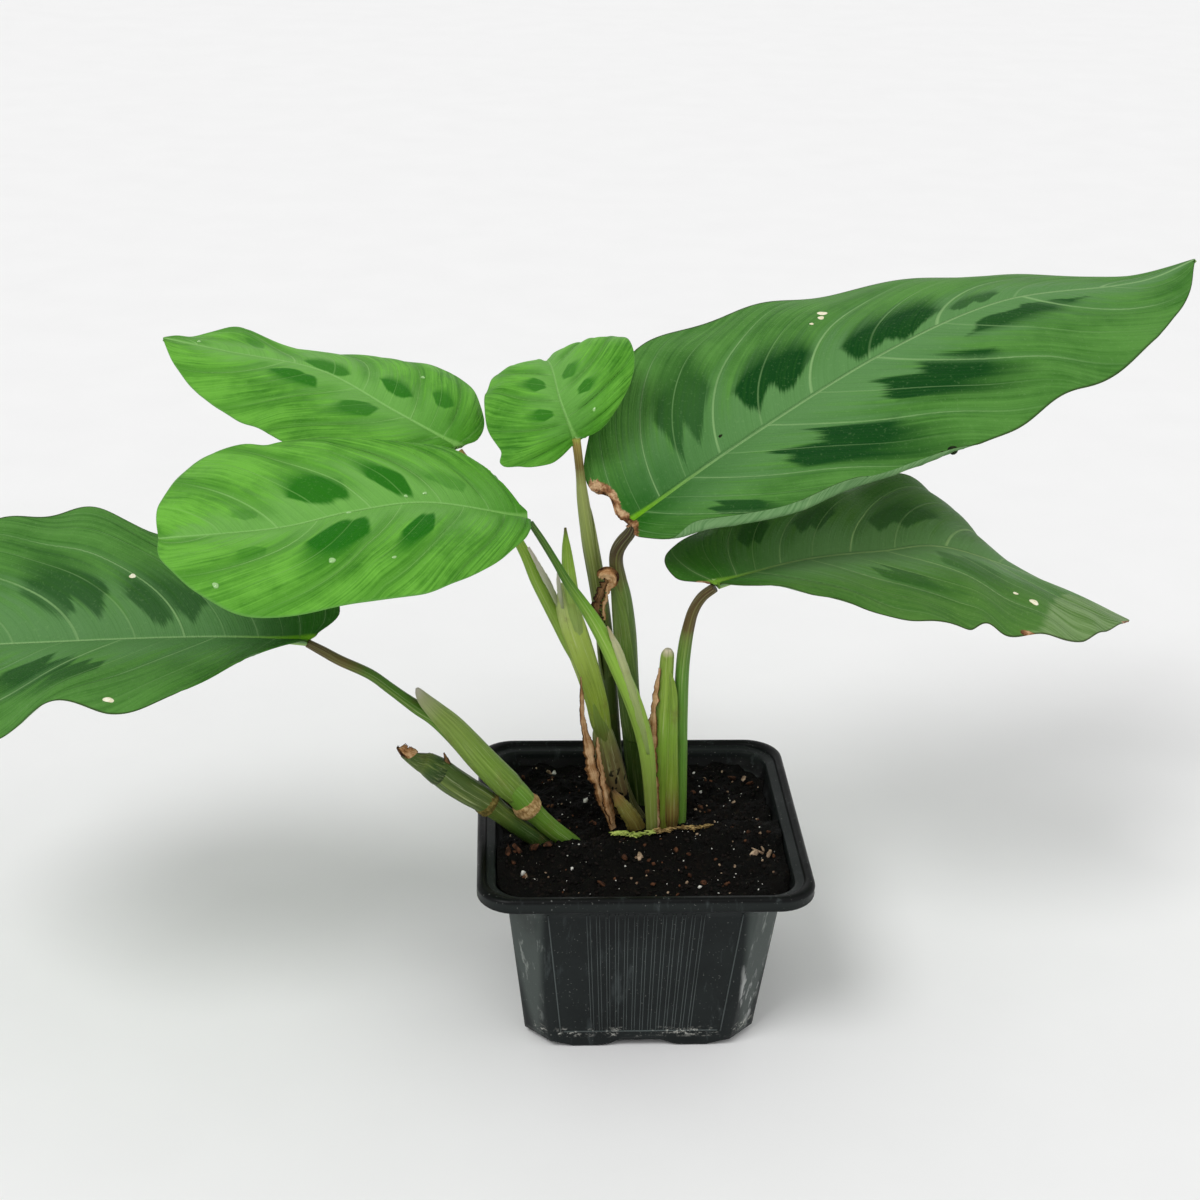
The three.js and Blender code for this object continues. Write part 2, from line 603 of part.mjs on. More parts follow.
function huskHole({ stations }) {
  const stem = stations.slice(0, 2).map(([x, y, z, width]) => [x, y, z, width]);
  return stemHole({ stations: stem });
}

const plant = new THREE.Group();

function add(name, geometry, material) {
  const mesh = new THREE.Mesh(geometry, material);
  mesh.name = name;
  plant.add(mesh);
}

add('pot', potGeometry(), BLACK_PLASTIC);
add('soil', soilGeometry(), PEAT);
add('moss_strands', mossGeometry(), MOSS);
for (const [name, stem] of Object.entries(STEMS)) add(name, stemGeometry(stem), stem.material);
for (const [name, husk] of Object.entries(HUSKS)) add(name, huskGeometry(husk), DRY_HUSK);
for (const [name, blade] of Object.entries(BLADES)) add(name, bladeGeometry(blade), blade.material);

export default plant;
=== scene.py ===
import math

import bpy
import numpy as np
from mathutils import Matrix, Vector


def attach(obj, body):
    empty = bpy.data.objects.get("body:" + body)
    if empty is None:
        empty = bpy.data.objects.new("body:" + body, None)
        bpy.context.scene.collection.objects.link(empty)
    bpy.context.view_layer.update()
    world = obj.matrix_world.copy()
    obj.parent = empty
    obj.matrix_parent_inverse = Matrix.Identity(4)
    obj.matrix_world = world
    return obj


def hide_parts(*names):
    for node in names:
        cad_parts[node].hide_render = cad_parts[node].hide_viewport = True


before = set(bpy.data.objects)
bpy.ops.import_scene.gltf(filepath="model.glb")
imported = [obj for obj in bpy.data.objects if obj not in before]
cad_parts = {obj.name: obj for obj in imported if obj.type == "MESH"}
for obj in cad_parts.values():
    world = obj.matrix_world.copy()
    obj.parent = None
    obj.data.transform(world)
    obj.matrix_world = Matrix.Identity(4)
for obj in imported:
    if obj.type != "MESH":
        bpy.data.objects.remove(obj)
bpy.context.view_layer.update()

MM = 0.001


# ---- camera, floor and light --------------------------------------------
# The camera's place, and its turns in degrees, as the photograph's pot asks for them.
CAMERA_PLACE = (-31, -387, 267)
CAMERA_PITCH = 24.0
CAMERA_YAW = 3.2
CAMERA_ROLL = 1.24
FOCAL_MM = 61.2
SENSOR_MM = 36
NEAREST_SEEN = 10
SKY_STRENGTH = 0.68
# Soft suns: name, the way it shines, strength, spread in degrees.
SUNS = (("key", (0.5, 0.55, -1), 1.15, 25), ("fill", (-0.9, 0.5, -0.7), 0.35, 60))
FLOOR_HALF = 3500


def add_camera():
    data = bpy.data.cameras.new("camera")
    data.lens = FOCAL_MM
    data.sensor_width = SENSOR_MM
    data.clip_start = NEAREST_SEEN * MM
    camera = bpy.data.objects.new("camera", data)
    bpy.context.collection.objects.link(camera)
    turn = Matrix.Rotation(math.radians(-CAMERA_YAW), 4, "Z")
    tip = Matrix.Rotation(math.radians(90 - CAMERA_PITCH), 4, "X")
    roll = Matrix.Rotation(math.radians(CAMERA_ROLL), 4, "Z")
    camera.matrix_world = Matrix.Translation([v * MM for v in CAMERA_PLACE]) @ turn @ tip @ roll
    bpy.context.scene.camera = camera


def add_sun(name, way, strength, spread):
    """A wide, soft sun that shines along way."""
    data = bpy.data.lights.new(name, "SUN")
    data.energy = strength
    data.angle = math.radians(spread)
    light = bpy.data.objects.new(name, data)
    bpy.context.collection.objects.link(light)
    light.matrix_world = Vector(way).to_track_quat("-Z", "Y").to_matrix().to_4x4()


def add_studio():
    world = bpy.data.worlds.new("studio")
    world.use_nodes = True
    background = world.node_tree.nodes["Background"]
    background.inputs["Color"].default_value = (1, 1, 1, 1)
    background.inputs["Strength"].default_value = SKY_STRENGTH
    bpy.context.scene.world = world
    for sun in SUNS:
        add_sun(*sun)
    corners = np.array([[-1, -1, 0], [1, -1, 0], [1, 1, 0], [-1, 1, 0]], float) * FLOOR_HALF
    floor = add_mesh("floor", corners, [[0, 1, 2, 3]], [floor_material()], smooth=False)


# ---- node helpers -------------------------------------------------------
class Nodes:
    """A material's node tree, with short calls for the nodes that the materials share."""

    def __init__(self, name, roughness, specular):
        self.material = bpy.data.materials.new(name)
        self.material.use_nodes = True
        self.tree = self.material.node_tree
        self.shader = self.tree.nodes["Principled BSDF"]
        self.shader.inputs["Roughness"].default_value = roughness
        self.shader.inputs["Specular IOR Level"].default_value = specular

    def plug(self, socket, value):
        if isinstance(value, bpy.types.NodeSocket):
            self.tree.links.new(value, socket)
        elif isinstance(value, tuple) and len(value) == 3 and socket.type == "RGBA":
            socket.default_value = (*value, 1)
        else:
            socket.default_value = value

    def node(self, kind, inputs, output=0, **settings):
        """A new node, with its inputs plugged and its settings made, and one of its outputs."""
        node = self.tree.nodes.new("ShaderNode" + kind)
        for key, value in settings.items():
            setattr(node, key, value)
        for key, value in inputs.items():
            self.plug(node.inputs[key], value)
        return node.outputs[output]

    def attribute(self, name, output="Fac"):
        return self.node("Attribute", {}, output, attribute_name=name)

    def grain(self):
        """The piece's own grain coordinates: along in X, across in Y."""
        return self.attribute("grain", "Vector")

    def object_place(self):
        return self.node("TexCoord", {}, "Object")

    def parts(self, vector):
        """The vector's X, Y and Z."""
        node = self.tree.nodes.new("ShaderNodeSeparateXYZ")
        self.plug(node.inputs[0], vector)
        return node.outputs

    def scaled(self, vector, scale):
        return self.node("VectorMath", {0: vector, 1: scale}, operation="MULTIPLY")

    def math(self, operation, a, b=0.0):
        return self.node("Math", {0: a, 1: b}, operation=operation)

    def times(self, a, b):
        return self.math("MULTIPLY", a, b)

    def plus(self, a, b):
        return self.math("ADD", a, b)

    def minus(self, a, b):
        return self.math("SUBTRACT", a, b)

    def centred(self, noise, amount):
        """Noise made to swing about zero, times an amount."""
        return self.times(self.minus(noise, 0.5), amount)

    def size(self, value):
        """The value without its sign."""
        return self.math("ABSOLUTE", value)

    def ramp(self, value, low, high, to_low=0.0, to_high=1.0):
        """A smooth step from to_low, where the value is low, to to_high, where it is high."""
        inputs = {"Value": value, "From Min": low, "From Max": high, "To Min": to_low, "To Max": to_high}
        return self.node("MapRange", inputs, interpolation_type="SMOOTHSTEP")

    def noise(self, vector, scale, detail, roughness):
        inputs = {"Vector": vector, "Scale": scale, "Detail": detail, "Roughness": roughness}
        return self.node("TexNoise", inputs, "Fac")

    def fibres(self, along, across, scale=1.0, detail=2, roughness=0.5):
        """Noise drawn out along the piece's grain."""
        return self.noise(self.scaled(self.grain(), (along, across, 1)), scale, detail, roughness)

    def cloud(self, scale, detail=3.0, roughness=0.5):
        """Noise that is the same size in all directions."""
        return self.noise(self.object_place(), scale, detail, roughness)

    def mix(self, factor, a, b):
        node = self.tree.nodes.new("ShaderNodeMix")
        node.data_type = "RGBA"
        self.plug(node.inputs["Factor"], factor)
        first, second = [plug for plug in node.inputs if plug.type == "RGBA"]
        self.plug(first, a)
        self.plug(second, b)
        return next(plug for plug in node.outputs if plug.type == "RGBA")

    def colours(self, value, stops):
        """A run of colours, from stops of (place, screen colour)."""
        node = self.tree.nodes.new("ShaderNodeValToRGB")
        ramp = node.color_ramp
        while len(ramp.elements) < len(stops):
            ramp.elements.new(0.5)
        for element, (place, colour) in zip(ramp.elements, stops):
            element.position = place
            element.color = (*tint(*colour), 1)
        self.plug(node.inputs["Fac"], value)
        return node.outputs["Color"]

    def bump(self, height, distance_mm, strength):
        inputs = {"Strength": strength, "Distance": distance_mm * MM, "Height": height}
        self.plug(self.shader.inputs["Normal"], self.node("Bump", inputs, "Normal"))

    def finish(self, colour, roughness=None):
        self.plug(self.shader.inputs["Base Color"], colour)
        if roughness is not None:
            self.plug(self.shader.inputs["Roughness"], roughness)
        return self.material


# Between these two greys the floor is mottled.
FLOOR_GREYS = ((0.86, 0.86, 0.86), (0.9, 0.9, 0.9))


def floor_material():
    nodes = Nodes("floor", roughness=0.9, specular=0.2)
    return nodes.finish(nodes.mix(nodes.cloud(30), *FLOOR_GREYS))


# ---- mesh helpers -------------------------------------------------------
def add_mesh(name, points, faces, materials, slots=None, smooth=True, grain=None, fields=None):
    mesh = bpy.data.meshes.new(name)
    mesh.from_pydata((np.asarray(points) * MM).tolist(), [], [list(map(int, f)) for f in faces])
    for material in materials:
        mesh.materials.append(material)
    if slots is not None:
        mesh.polygons.foreach_set("material_index", np.asarray(slots, np.int32))
    mesh.polygons.foreach_set("use_smooth", np.full(len(mesh.polygons), smooth))
    if grain is not None:
        values = np.zeros((len(points), 3), np.float32)
        values[:, :2] = grain
        mesh.attributes.new("grain", "FLOAT_VECTOR", "POINT").data.foreach_set("vector", values.ravel())
    for key, values in (fields or {}).items():
        attribute = mesh.attributes.new(key, "FLOAT", "POINT")
        attribute.data.foreach_set("value", np.asarray(values, np.float32))
    mesh.update()
    obj = bpy.data.objects.new(name, mesh)
    bpy.context.collection.objects.link(obj)
    return obj


def keep(obj, slot, *nodes):
    """obj is a finished piece of the plant: it rides on the part's one body and may stand for nodes."""
    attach(obj, "root")
    if nodes:
        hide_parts(*nodes)


def grid_faces(rows, columns, wrap=False):
    """Quads over a grid of rows by columns points."""
    across = columns if wrap else columns - 1
    row, column = np.meshgrid(np.arange(rows - 1), np.arange(across), indexing="ij")
    a = (row * columns + column).ravel()
    b = (row * columns + (column + 1) % columns).ravel()
    return np.stack([a, b, b + columns, a + columns], 1)


def border_loop(rows, columns):
    """The border points of a grid, in order."""
    first = np.arange(columns)
    right = np.arange(1, rows) * columns + columns - 1
    last = (rows - 1) * columns + np.arange(columns - 2, -1, -1)
    left = np.arange(rows - 2, 0, -1) * columns
    return np.concatenate([first, right, last, left])


def closed_sheet(upper, lower):
    """Points and faces of a thin closed sheet between two grids: upper faces, lower faces, rim."""
    rows, columns = upper.shape[:2]
    cells = grid_faces(rows, columns)
    count = rows * columns
    border = border_loop(rows, columns)
    follow = np.roll(border, -1)
    rim = np.stack([border, follow, follow + count, border + count], 1)
    points = np.vstack([upper.reshape(-1, 3), lower.reshape(-1, 3)])
    return points, np.vstack([cells[:, ::-1], cells + count, rim])


def unit(vectors):
    """The vectors at length one."""
    return vectors / np.maximum(np.linalg.norm(vectors, axis=-1, keepdims=True), 1e-9)


def square_to(vectors, way):
    """What is left of the vectors without their part along a way."""
    return vectors - way * (vectors * way).sum(1)[:, None]


def smoothstep(low, high, x):
    t = np.clip((x - low) / (high - low), 0, 1)
    return t * t * (3 - 2 * t)


def spline(points, t, mirrored=False):
    """Uniform Catmull-Rom through the points at t from 0 to 1, and its derivative."""
    p = np.asarray(points, float)
    first = 2 * p[0] - p[1] if mirrored else p[0]
    last = 2 * p[-1] - p[-2] if mirrored else p[-1]
    padded = np.vstack([first, p, last])
    spot = np.clip(np.asarray(t, float), 0, 1) * (len(p) - 1)
    k = np.minimum(spot.astype(int), len(p) - 2)
    w = (spot - k)[:, None]
    p0, p1, p2, p3 = (padded[k + i] for i in range(4))
    a = 2 * p0 - 5 * p1 + 4 * p2 - p3
    b = 3 * p1 - p0 - 3 * p2 + p3
    place = 0.5 * (2 * p1 + (p2 - p0) * w + a * w ** 2 + b * w ** 3)
    slope = 0.5 * ((p2 - p0) + 2 * a * w + 3 * b * w ** 2)
    return place, slope


def even_steps(points, share, mirrored, pieces):
    """Where even shares of a spline's length fall on it, and its length."""
    fine = np.linspace(0, 1, pieces + 1)
    places = spline(points, fine, mirrored)[0]
    run = np.r_[0, np.cumsum(np.linalg.norm(np.diff(places, axis=0), axis=1))]
    return np.interp(np.asarray(share) * run[-1], run, fine), run[-1]


def even_spline(points, share, mirrored=False):
    """The spline at even shares of its length, its derivative there, and its length."""
    t, length = even_steps(points, share, mirrored, 800)
    return *spline(points, t, mirrored), length


# ---- leaf blades --------------------------------------------------------
# A blade is a flat outline bent along its midrib, rib, and each half is tilted out of the
# level by lifts: degrees for the left and the right half, from base to tip. left and right
# are rows of [along, half width] that give the margins. Each half bulges by arch, most at
# half of full_half, and ripples waves times from base to tip, by ripple.
# Grain coordinates: share follows the lateral veins from base to tip, reach runs from
# midrib to margin.
LEFT, RIGHT = -1, 1
RIPPLE = 0.8
LEAVES = {
    "leaf_right": dict(
        dark=True, full_half=33, arch=1.5, waves=5,
        rib=[[-4, 5, 109.5], [21, 20, 122], [52.5, 36, 136.5], [80.5, 47, 145.5], [108, 55, 147],
             [118, 57.5, 148.4], [127.5, 60, 152]],
        lifts=[[36, 26, 12, -1, -9, -15], [-8, -12, -20, -24, -24, -20]],
        left=[[-0.3, 1.5], [-1, 11], [5, 18], [20, 29], [38, 35], [62, 34], [90, 29], [115, 20], [135, 9],
              [150.5, 0.5]],
        right=[[-0.8, 3], [-1, 7], [5, 16], [20, 26], [43, 32.5], [70, 33.5], [98, 31.5], [117, 28],
               [133, 18.5], [143, 10], [150.5, 0.5]],
    ),
    "leaf_lower_right": dict(
        dark=True, full_half=28, arch=1.5, waves=6,
        rib=[[15, 0, 98.5], [33.5, 8, 100], [51.5, 14, 99.5], [67.5, 18, 98.5], [93.5, 21, 88],
             [109.5, 20, 80.5]],
        lifts=[[15, 15, 14, 8, -35, -35], [0, -8, -12, -12, -8, -5]],
        left=[[-2, 0.8], [-8, 3.5], [-6, 11], [10, 16.5], [25, 20], [42, 24], [60, 26], [78, 23], [92, 13],
              [102, 0.5]],
        right=[[0, 1], [3, 6], [11, 13], [22, 21], [38, 27.5], [55, 28.5], [68, 28], [81, 24.5], [93, 15],
               [102, 0.5]],
    ),
    "leaf_centre": dict(
        dark=False, full_half=18, arch=0.8, waves=3,
        rib=[[-14.5, 10, 126], [-17.5, 16, 132.5], [-19, 24, 136.5], [-20, 32, 136], [-20.5, 44, 131]],
        lifts=[[-20] * 6, [25, 24, 22, 20, 18, 15]],
        left=[[-0.8, 0.8], [-3.5, 7], [-1.5, 14], [6, 16], [16, 15.5], [27, 12], [35, 6], [39.5, 0.5]],
        right=[[0, 0.8], [0.5, 6], [7, 14], [13, 17], [20, 16.5], [28, 12], [35, 6], [39.5, 0.5]],
    ),
    "leaf_upper_left": dict(
        dark=False, full_half=22, arch=1, waves=4, ripple=0.25,
        rib=[[-39, 14, 123.5], [-52, 21, 128.5], [-68.5, 33, 133.5], [-89, 41, 135], [-103, 44, 137]],
        lifts=[[-25] * 6, [12, 8, -2, -14, -10, 0]],
        left=[[0, 1], [3.5, 9], [12, 16], [30, 20.5], [46, 20], [58, 15.5], [67, 9.5], [73, 0.5]],
        right=[[-0.8, 0.6], [-2.5, 4], [0, 10], [10, 19.5], [25, 20.5], [42, 20], [57, 15], [67, 8],
               [73, 0.5]],
    ),
    "leaf_front_left": dict(
        dark=False, full_half=28, arch=1.5, waves=4, ripple=0.1,
        rib=[[-24.5, -4, 114.5], [-44, -10, 120], [-59, -15, 120], [-73.5, -19, 118], [-95.5, -22, 117]],
        lifts=[[-14, -16, -16, -16, -16, -16], [20, 20, 18, 16, 14, 12]],
        left=[[0, 2], [4, 11], [16, 23], [30, 27.5], [46, 26.5], [58, 26], [68, 18], [74, 8], [74.5, 0.5]],
        right=[[0, 1.5], [5, 6.5], [12, 15], [25, 18], [41, 25], [57, 30], [67, 25], [74, 10], [74.5, 0.5]],
    ),
    "leaf_far_left": dict(
        dark=True, full_half=33, arch=1.5, waves=5,
        rib=[[-69.5, -6, 88.5], [-91.5, -4, 88], [-121, -1, 85.5], [-146, 1, 83], [-174, 3, 78]],
        lifts=[[0, -2, 0, -8, -14, -12], [30, 32, 34, 32, 28, 20]],
        left=[[0, 1], [7, 6.5], [13, 16], [22, 28], [32, 32.5], [44, 30], [55, 36], [68, 35], [82, 28],
              [96, 15], [105, 0.5]],
        right=[[-1.5, 0.9], [-6, 6], [-1, 14], [14, 20.5], [34, 25.5], [50, 33], [68, 32.5], [83, 30],
               [95, 21], [105, 0.5]],
    ),
}
LEAF_ROWS = 200
LEAF_COLUMNS = 44    # on each side of the midrib
VEIN_FOOT = 2.0      # how far the lateral veins lag behind at the midrib, as a power of share
VEIN_BEND = 0.5      # how much they curve towards the tip on their way out
LEFT_PHASE = 1.3     # how far the left half's ripples run ahead of the right half's
BLADE_THICKNESS = 0.45
RIB_DEPTH = 0.9      # the midrib under the blade, and half its width
RIB_HALF = 0.95


def by_side(pair, side):
    """The left or the right one of a pair."""
    return pair[0 if side == LEFT else 1]


def margin(leaf, share, side):
    """[along, half width] at shares of one margin's length."""
    return even_spline(by_side((leaf["left"], leaf["right"]), side), share)[0]


def blade_surface(leaf, share, reach, side):
    """Points of a blade's middle surface at grain coordinates, upward there, and distance from the midrib."""
    length = even_spline(leaf["rib"], [0], True)[2]
    edge = margin(leaf, share, side)
    foot = length * share ** VEIN_FOOT
    run = reach * (1 - VEIN_BEND) + reach ** 2 * VEIN_BEND
    along = foot + (edge[:, 0] - foot) * run
    across = edge[:, 1] * reach
    part = np.clip(along / length, 0, 1)
    rib, slope, _ = even_spline(leaf["rib"], part, True)
    tangent = unit(slope)
    level = unit(np.cross(tangent, (0, 0, 1)))
    upward = np.cross(level, tangent)
    lifts = np.array(by_side(leaf["lifts"], side), float)[:, None]
    tilt = np.radians(spline(lifts, part)[0][:, 0])
    spread = np.minimum(across / leaf["full_half"], 1)
    phase = by_side((LEFT_PHASE, 0), side)
    wave = leaf.get("ripple", RIPPLE) * spread ** 2 * np.sin(2 * math.pi * leaf["waves"] * part + phase)
    height = across * np.sin(tilt) + 4 * leaf["arch"] * spread * (1 - spread) + wave
    points = rib + tangent * (along - part * length)[:, None]
    points += level * (side * across * np.cos(tilt))[:, None] + upward * height[:, None]
    return points, upward, across


# ---- blade pieces -------------------------------------------------------
# How the lateral veins run: how many major ones fit along the leaf, where the first
# one stands on each side, and how far they sweep on towards the tip at the margin.
VEINS = {
    "leaf_right": dict(count=6, start=(0.5, 0.05), sweep=(0.1, 0.1)),
    "leaf_lower_right": dict(count=5.8, start=(0.25, 0.65), sweep=(0.08, 0.14)),
    "leaf_centre": dict(count=6, start=(0.9, 0.2), sweep=(0.08, 0.08)),
    "leaf_upper_left": dict(count=5.5, start=(0.3, 0.2), sweep=(0.1, 0.08)),
    "leaf_front_left": dict(count=6, start=(0.6, 0), sweep=(0.09, 0)),
    "leaf_far_left": dict(count=5.5, start=(0.3, 0.7), sweep=(0.05, 0.25)),
}
# Dark blotches: side, share and reach of the middle, half share, half reach, how dark.
# Towards the midrib each ends in two pointed lobes, LOBE_PLACE of its half share off its
# middle line. A share of 1 would be all lobes and 0 one round end.
LOBE_PLACE = 0.42
LOBE_SHARE = 0.75
PALE_LOBE_SHARE = 0.2
BLOTCHES = {
    "leaf_right": [
        (LEFT, 0.365, 0.41, 0.056, 0.28, 0.72), (LEFT, 0.527, 0.30, 0.064, 0.18, 1),
        (LEFT, 0.69, 0.23, 0.06, 0.2, 1), (LEFT, 0.79, 0.19, 0.026, 0.1, 0.7),
        (RIGHT, 0.81, 0.27, 0.066, 0.11, 0.9), (RIGHT, 0.462, 0.55, 0.074, 0.27, 1),
        (RIGHT, 0.65, 0.48, 0.066, 0.26, 1), (RIGHT, 0.235, 0.6, 0.032, 0.19, 0.9),
    ],
    "leaf_lower_right": [
        (LEFT, 0.315, 0.5, 0.046, 0.21, 0.8), (LEFT, 0.465, 0.46, 0.048, 0.18, 0.75),
        (LEFT, 0.64, 0.35, 0.056, 0.16, 0.7), (RIGHT, 0.535, 0.47, 0.036, 0.18, 0.6),
        (RIGHT, 0.71, 0.36, 0.05, 0.19, 0.5),
    ],
    "leaf_centre": [
        (LEFT, 0.57, 0.33, 0.039, 0.161, 0.8), (LEFT, 0.40, 0.34, 0.034, 0.161, 0.8),
        (RIGHT, 0.595, 0.22, 0.034, 0.115, 0.7), (RIGHT, 0.46, 0.33, 0.034, 0.127, 0.8),
    ],
    "leaf_upper_left": [
        (RIGHT, 0.69, 0.12, 0.056, 0.103, 0.8), (RIGHT, 0.49, 0.25, 0.062, 0.103, 0.9),
        (RIGHT, 0.31, 0.42, 0.05, 0.127, 0.8), (RIGHT, 0.83, 0.5, 0.017, 0.196, 0.5),
        (LEFT, 0.70, 0.32, 0.067, 0.115, 0.9), (LEFT, 0.50, 0.29, 0.045, 0.172, 0.8),
    ],
    "leaf_front_left": [
        (RIGHT, 0.715, 0.27, 0.056, 0.172, 0.95), (RIGHT, 0.58, 0.22, 0.036, 0.172, 0.95),
        (RIGHT, 0.43, 0.22, 0.056, 0.092, 0.4), (RIGHT, 0.86, 0.26, 0.022, 0.092, 0.4),
        (LEFT, 0.69, 0.39, 0.056, 0.218, 1), (LEFT, 0.52, 0.45, 0.037, 0.196, 1),
        (LEFT, 0.815, 0.55, 0.022, 0.103, 0.5),
    ],
    "leaf_far_left": [
        (RIGHT, 0.655, 0.36, 0.062, 0.24, 0.75), (RIGHT, 0.50, 0.26, 0.074, 0.19, 0.7),
        (LEFT, 0.635, 0.47, 0.05, 0.2, 0.8), (LEFT, 0.55, 0.53, 0.034, 0.138, 0.7),
    ],
}
# Rolled margins: side, first and last share, width of the rolled strip in mm, turn in degrees.
ROLL_RADIUS = 0.5
ROLLS = {
    "leaf_right": [(RIGHT, 0.04, 0.5, 4.0, 150), (RIGHT, 0.93, 1.02, 2.4, 120)],
}
# Brown, dried patches: side, share, reach, half share, half reach.
SCORCHED = {
    "leaf_right": [(LEFT, 0.0, 0.9, 0.012, 0.4)],
    "leaf_lower_right": [(LEFT, 0.0, 0.9, 0.02, 0.3), (RIGHT, 0.62, 1.0, 0.012, 0.05),
                         (RIGHT, 0.97, 1.0, 0.03, 0.06)],
}
# A pale strip along the tip's margin: side, where it starts, how far in it reaches at the tip.
PALE_TIPS = {"leaf_lower_right": (RIGHT, 0.62, 0.9)}
# Where a margin leaves the plain outline: side, share, half share, change of the reach.
EDGES = {"leaf_centre": [(LEFT, 0.262, 0.03, 0.12)]}
# Where a margin rises or sinks: side, share, half share, height in mm.
LIFTS = {"leaf_upper_left": [(RIGHT, 0.815, 0.05, 2.4), (RIGHT, 0.925, 0.035, -1.2)]}
# Round bites with a brown edge: x, y, z of the middle and radius, and the width of the brown.
BITES = {"leaf_right": [(-9.4, 7.0, 112.4, 3.4), (-6, 2.8, 107.5, 3.9)]}
CHAR_WIDTH = 1.5
# How high a blade swells between its veins, and how far its margin flutters up and down.
SWELL = 0.42
PALE_SWELL = 0.65
FLUTTER = {"leaf_lower_right": 0.4, "leaf_far_left": 0.25, "leaf_right": 0.1}
OTHER_FLUTTER = 0.12
# The values that a blade carries for its material.
BLADE_FIELDS = ("across", "share", "blotch", "depth", "soft", "scorch", "pale_tip")


def blotch_field(name, share, reach, side):
    """How far inside a blotch a point lies, how dark the blotch is and how soft its edge is there."""
    field = np.full(len(share), -2.0)
    depth = np.zeros(len(share))
    soft = np.zeros(len(share))
    lobed = LOBE_SHARE if LEAVES[name]["dark"] else PALE_LOBE_SHARE
    for where, middle, out, half_share, half_reach, dark in BLOTCHES[name]:
        if where != side:
            continue
        a = (share - middle) / half_share
        b = (reach - out) / half_reach
        lobes = 1 - np.abs(np.abs(a) - LOBE_PLACE) / (1 - LOBE_PLACE)
        dome = 1 - np.abs(a) ** 2.2
        inner = lobed * lobes + (1 - lobed) * dome + b
        outer = dome - b
        value = np.where(b < 0, np.minimum(inner, dome + 0.25), np.minimum(outer, inner + 2 * b))
        depth = np.where(value > field, dark, depth)
        soft = np.where(value > field, smoothstep(-0.3, 0.8, b), soft)
        field = np.maximum(field, value)
    return field, depth, soft


def scorch_field(name, share, reach, side):
    """How far inside a dried patch a point lies."""
    field = np.full(len(share), -1.0)
    for where, middle, out, half_share, half_reach in SCORCHED.get(name, ()):
        if where == side:
            value = 1 - ((share - middle) / half_share) ** 2 - ((reach - out) / half_reach) ** 2
            field = np.maximum(field, value)
    return field


def pale_tip_field(name, share, reach, side):
    """How far inside the pale strip along a tip a point lies."""
    where, first, depth = PALE_TIPS.get(name, (0, 0, 0))
    if where != side:
        return np.full(len(share), -1.0)
    part = np.clip((share - first) / (1 - first), 0, 1)
    return np.where(part > 0, reach - 1 + depth * part ** 1.25, -1.0)


def blade_normals(points, rows, columns):
    """Normals of the grid of points, on the side that faces up."""
    grid = points.reshape(rows, columns, 3)
    normals = unit(np.cross(np.gradient(grid, axis=1), np.gradient(grid, axis=0))).reshape(-1, 3)
    return -normals if normals[:, 2].mean() < 0 else normals


def blade_relief(name, share, reach, across, side):
    """Fine height of the blade, and where it lies between the lateral veins, counted from the first."""
    vein = VEINS[name]
    run = (share - by_side(vein["sweep"], side) * reach ** 2) * vein["count"] - by_side(vein["start"], side)
    window = smoothstep(0.0, 0.25, reach) * (1 - smoothstep(0.75, 1.0, reach))
    window *= smoothstep(0.02, 0.2, share) * (1 - smoothstep(0.85, 1.0, share))
    swell = np.abs(np.sin(math.pi * run)) ** 0.7 + 0.4 * np.abs(np.sin(2 * math.pi * run)) ** 0.7
    groove = -0.5 * np.exp(-(across / 0.9) ** 2) * (1 - share)
    flutter = smoothstep(0.6, 1, reach) * np.sin(23 * share + 2.0 * side + len(name))
    flutter += 0.7 * smoothstep(0.75, 1, reach) * np.sin(61 * share + 1.3 * side)
    flutter *= FLUTTER.get(name, OTHER_FLUTTER) * smoothstep(0.03, 0.15, share)
    flutter *= 1 - smoothstep(0.9, 1.0, share)
    for where, middle, half, height in LIFTS.get(name, ()):
        if where == side:
            flutter += height * smoothstep(0.3, 1, reach) * np.exp(-((share - middle) / half) ** 2)
    height = SWELL if LEAVES[name]["dark"] else PALE_SWELL
    return height * swell * window + groove + flutter, run


def bitten(name, points, normals):
    """Pushes the blade out of its round bites; the second result is how near a bite's edge is."""
    burnt = np.full(len(points), -1.0)
    for x, y, z, radius in BITES.get(name, ()):
        away = square_to(points - (x, y, z), normals)
        far = np.linalg.norm(away, axis=1)
        turn = np.arctan2(away[:, 2], away[:, 0])
        edge = radius * (1 + 0.1 * np.sin(5 * turn + x) + 0.07 * np.sin(13 * turn))
        push = np.clip(edge - far, 0, None)
        push[np.abs(points - (x, y, z)).max(1) > 2 * radius] = 0
        points = points + away * (push / np.maximum(far, 1e-9))[:, None]
        burnt = np.maximum(burnt, 1 - np.clip(far - edge, 0, None) / CHAR_WIDTH)
    return points, burnt


def reshaped(name, share, reach, side):
    """The reach where a margin stands out from the plain outline."""
    for where, middle, half, change in EDGES.get(name, ()):
        if where == side:
            reach = reach * (1 + change * np.exp(-(np.abs(share - middle) / half) ** 2.5))
    return reach


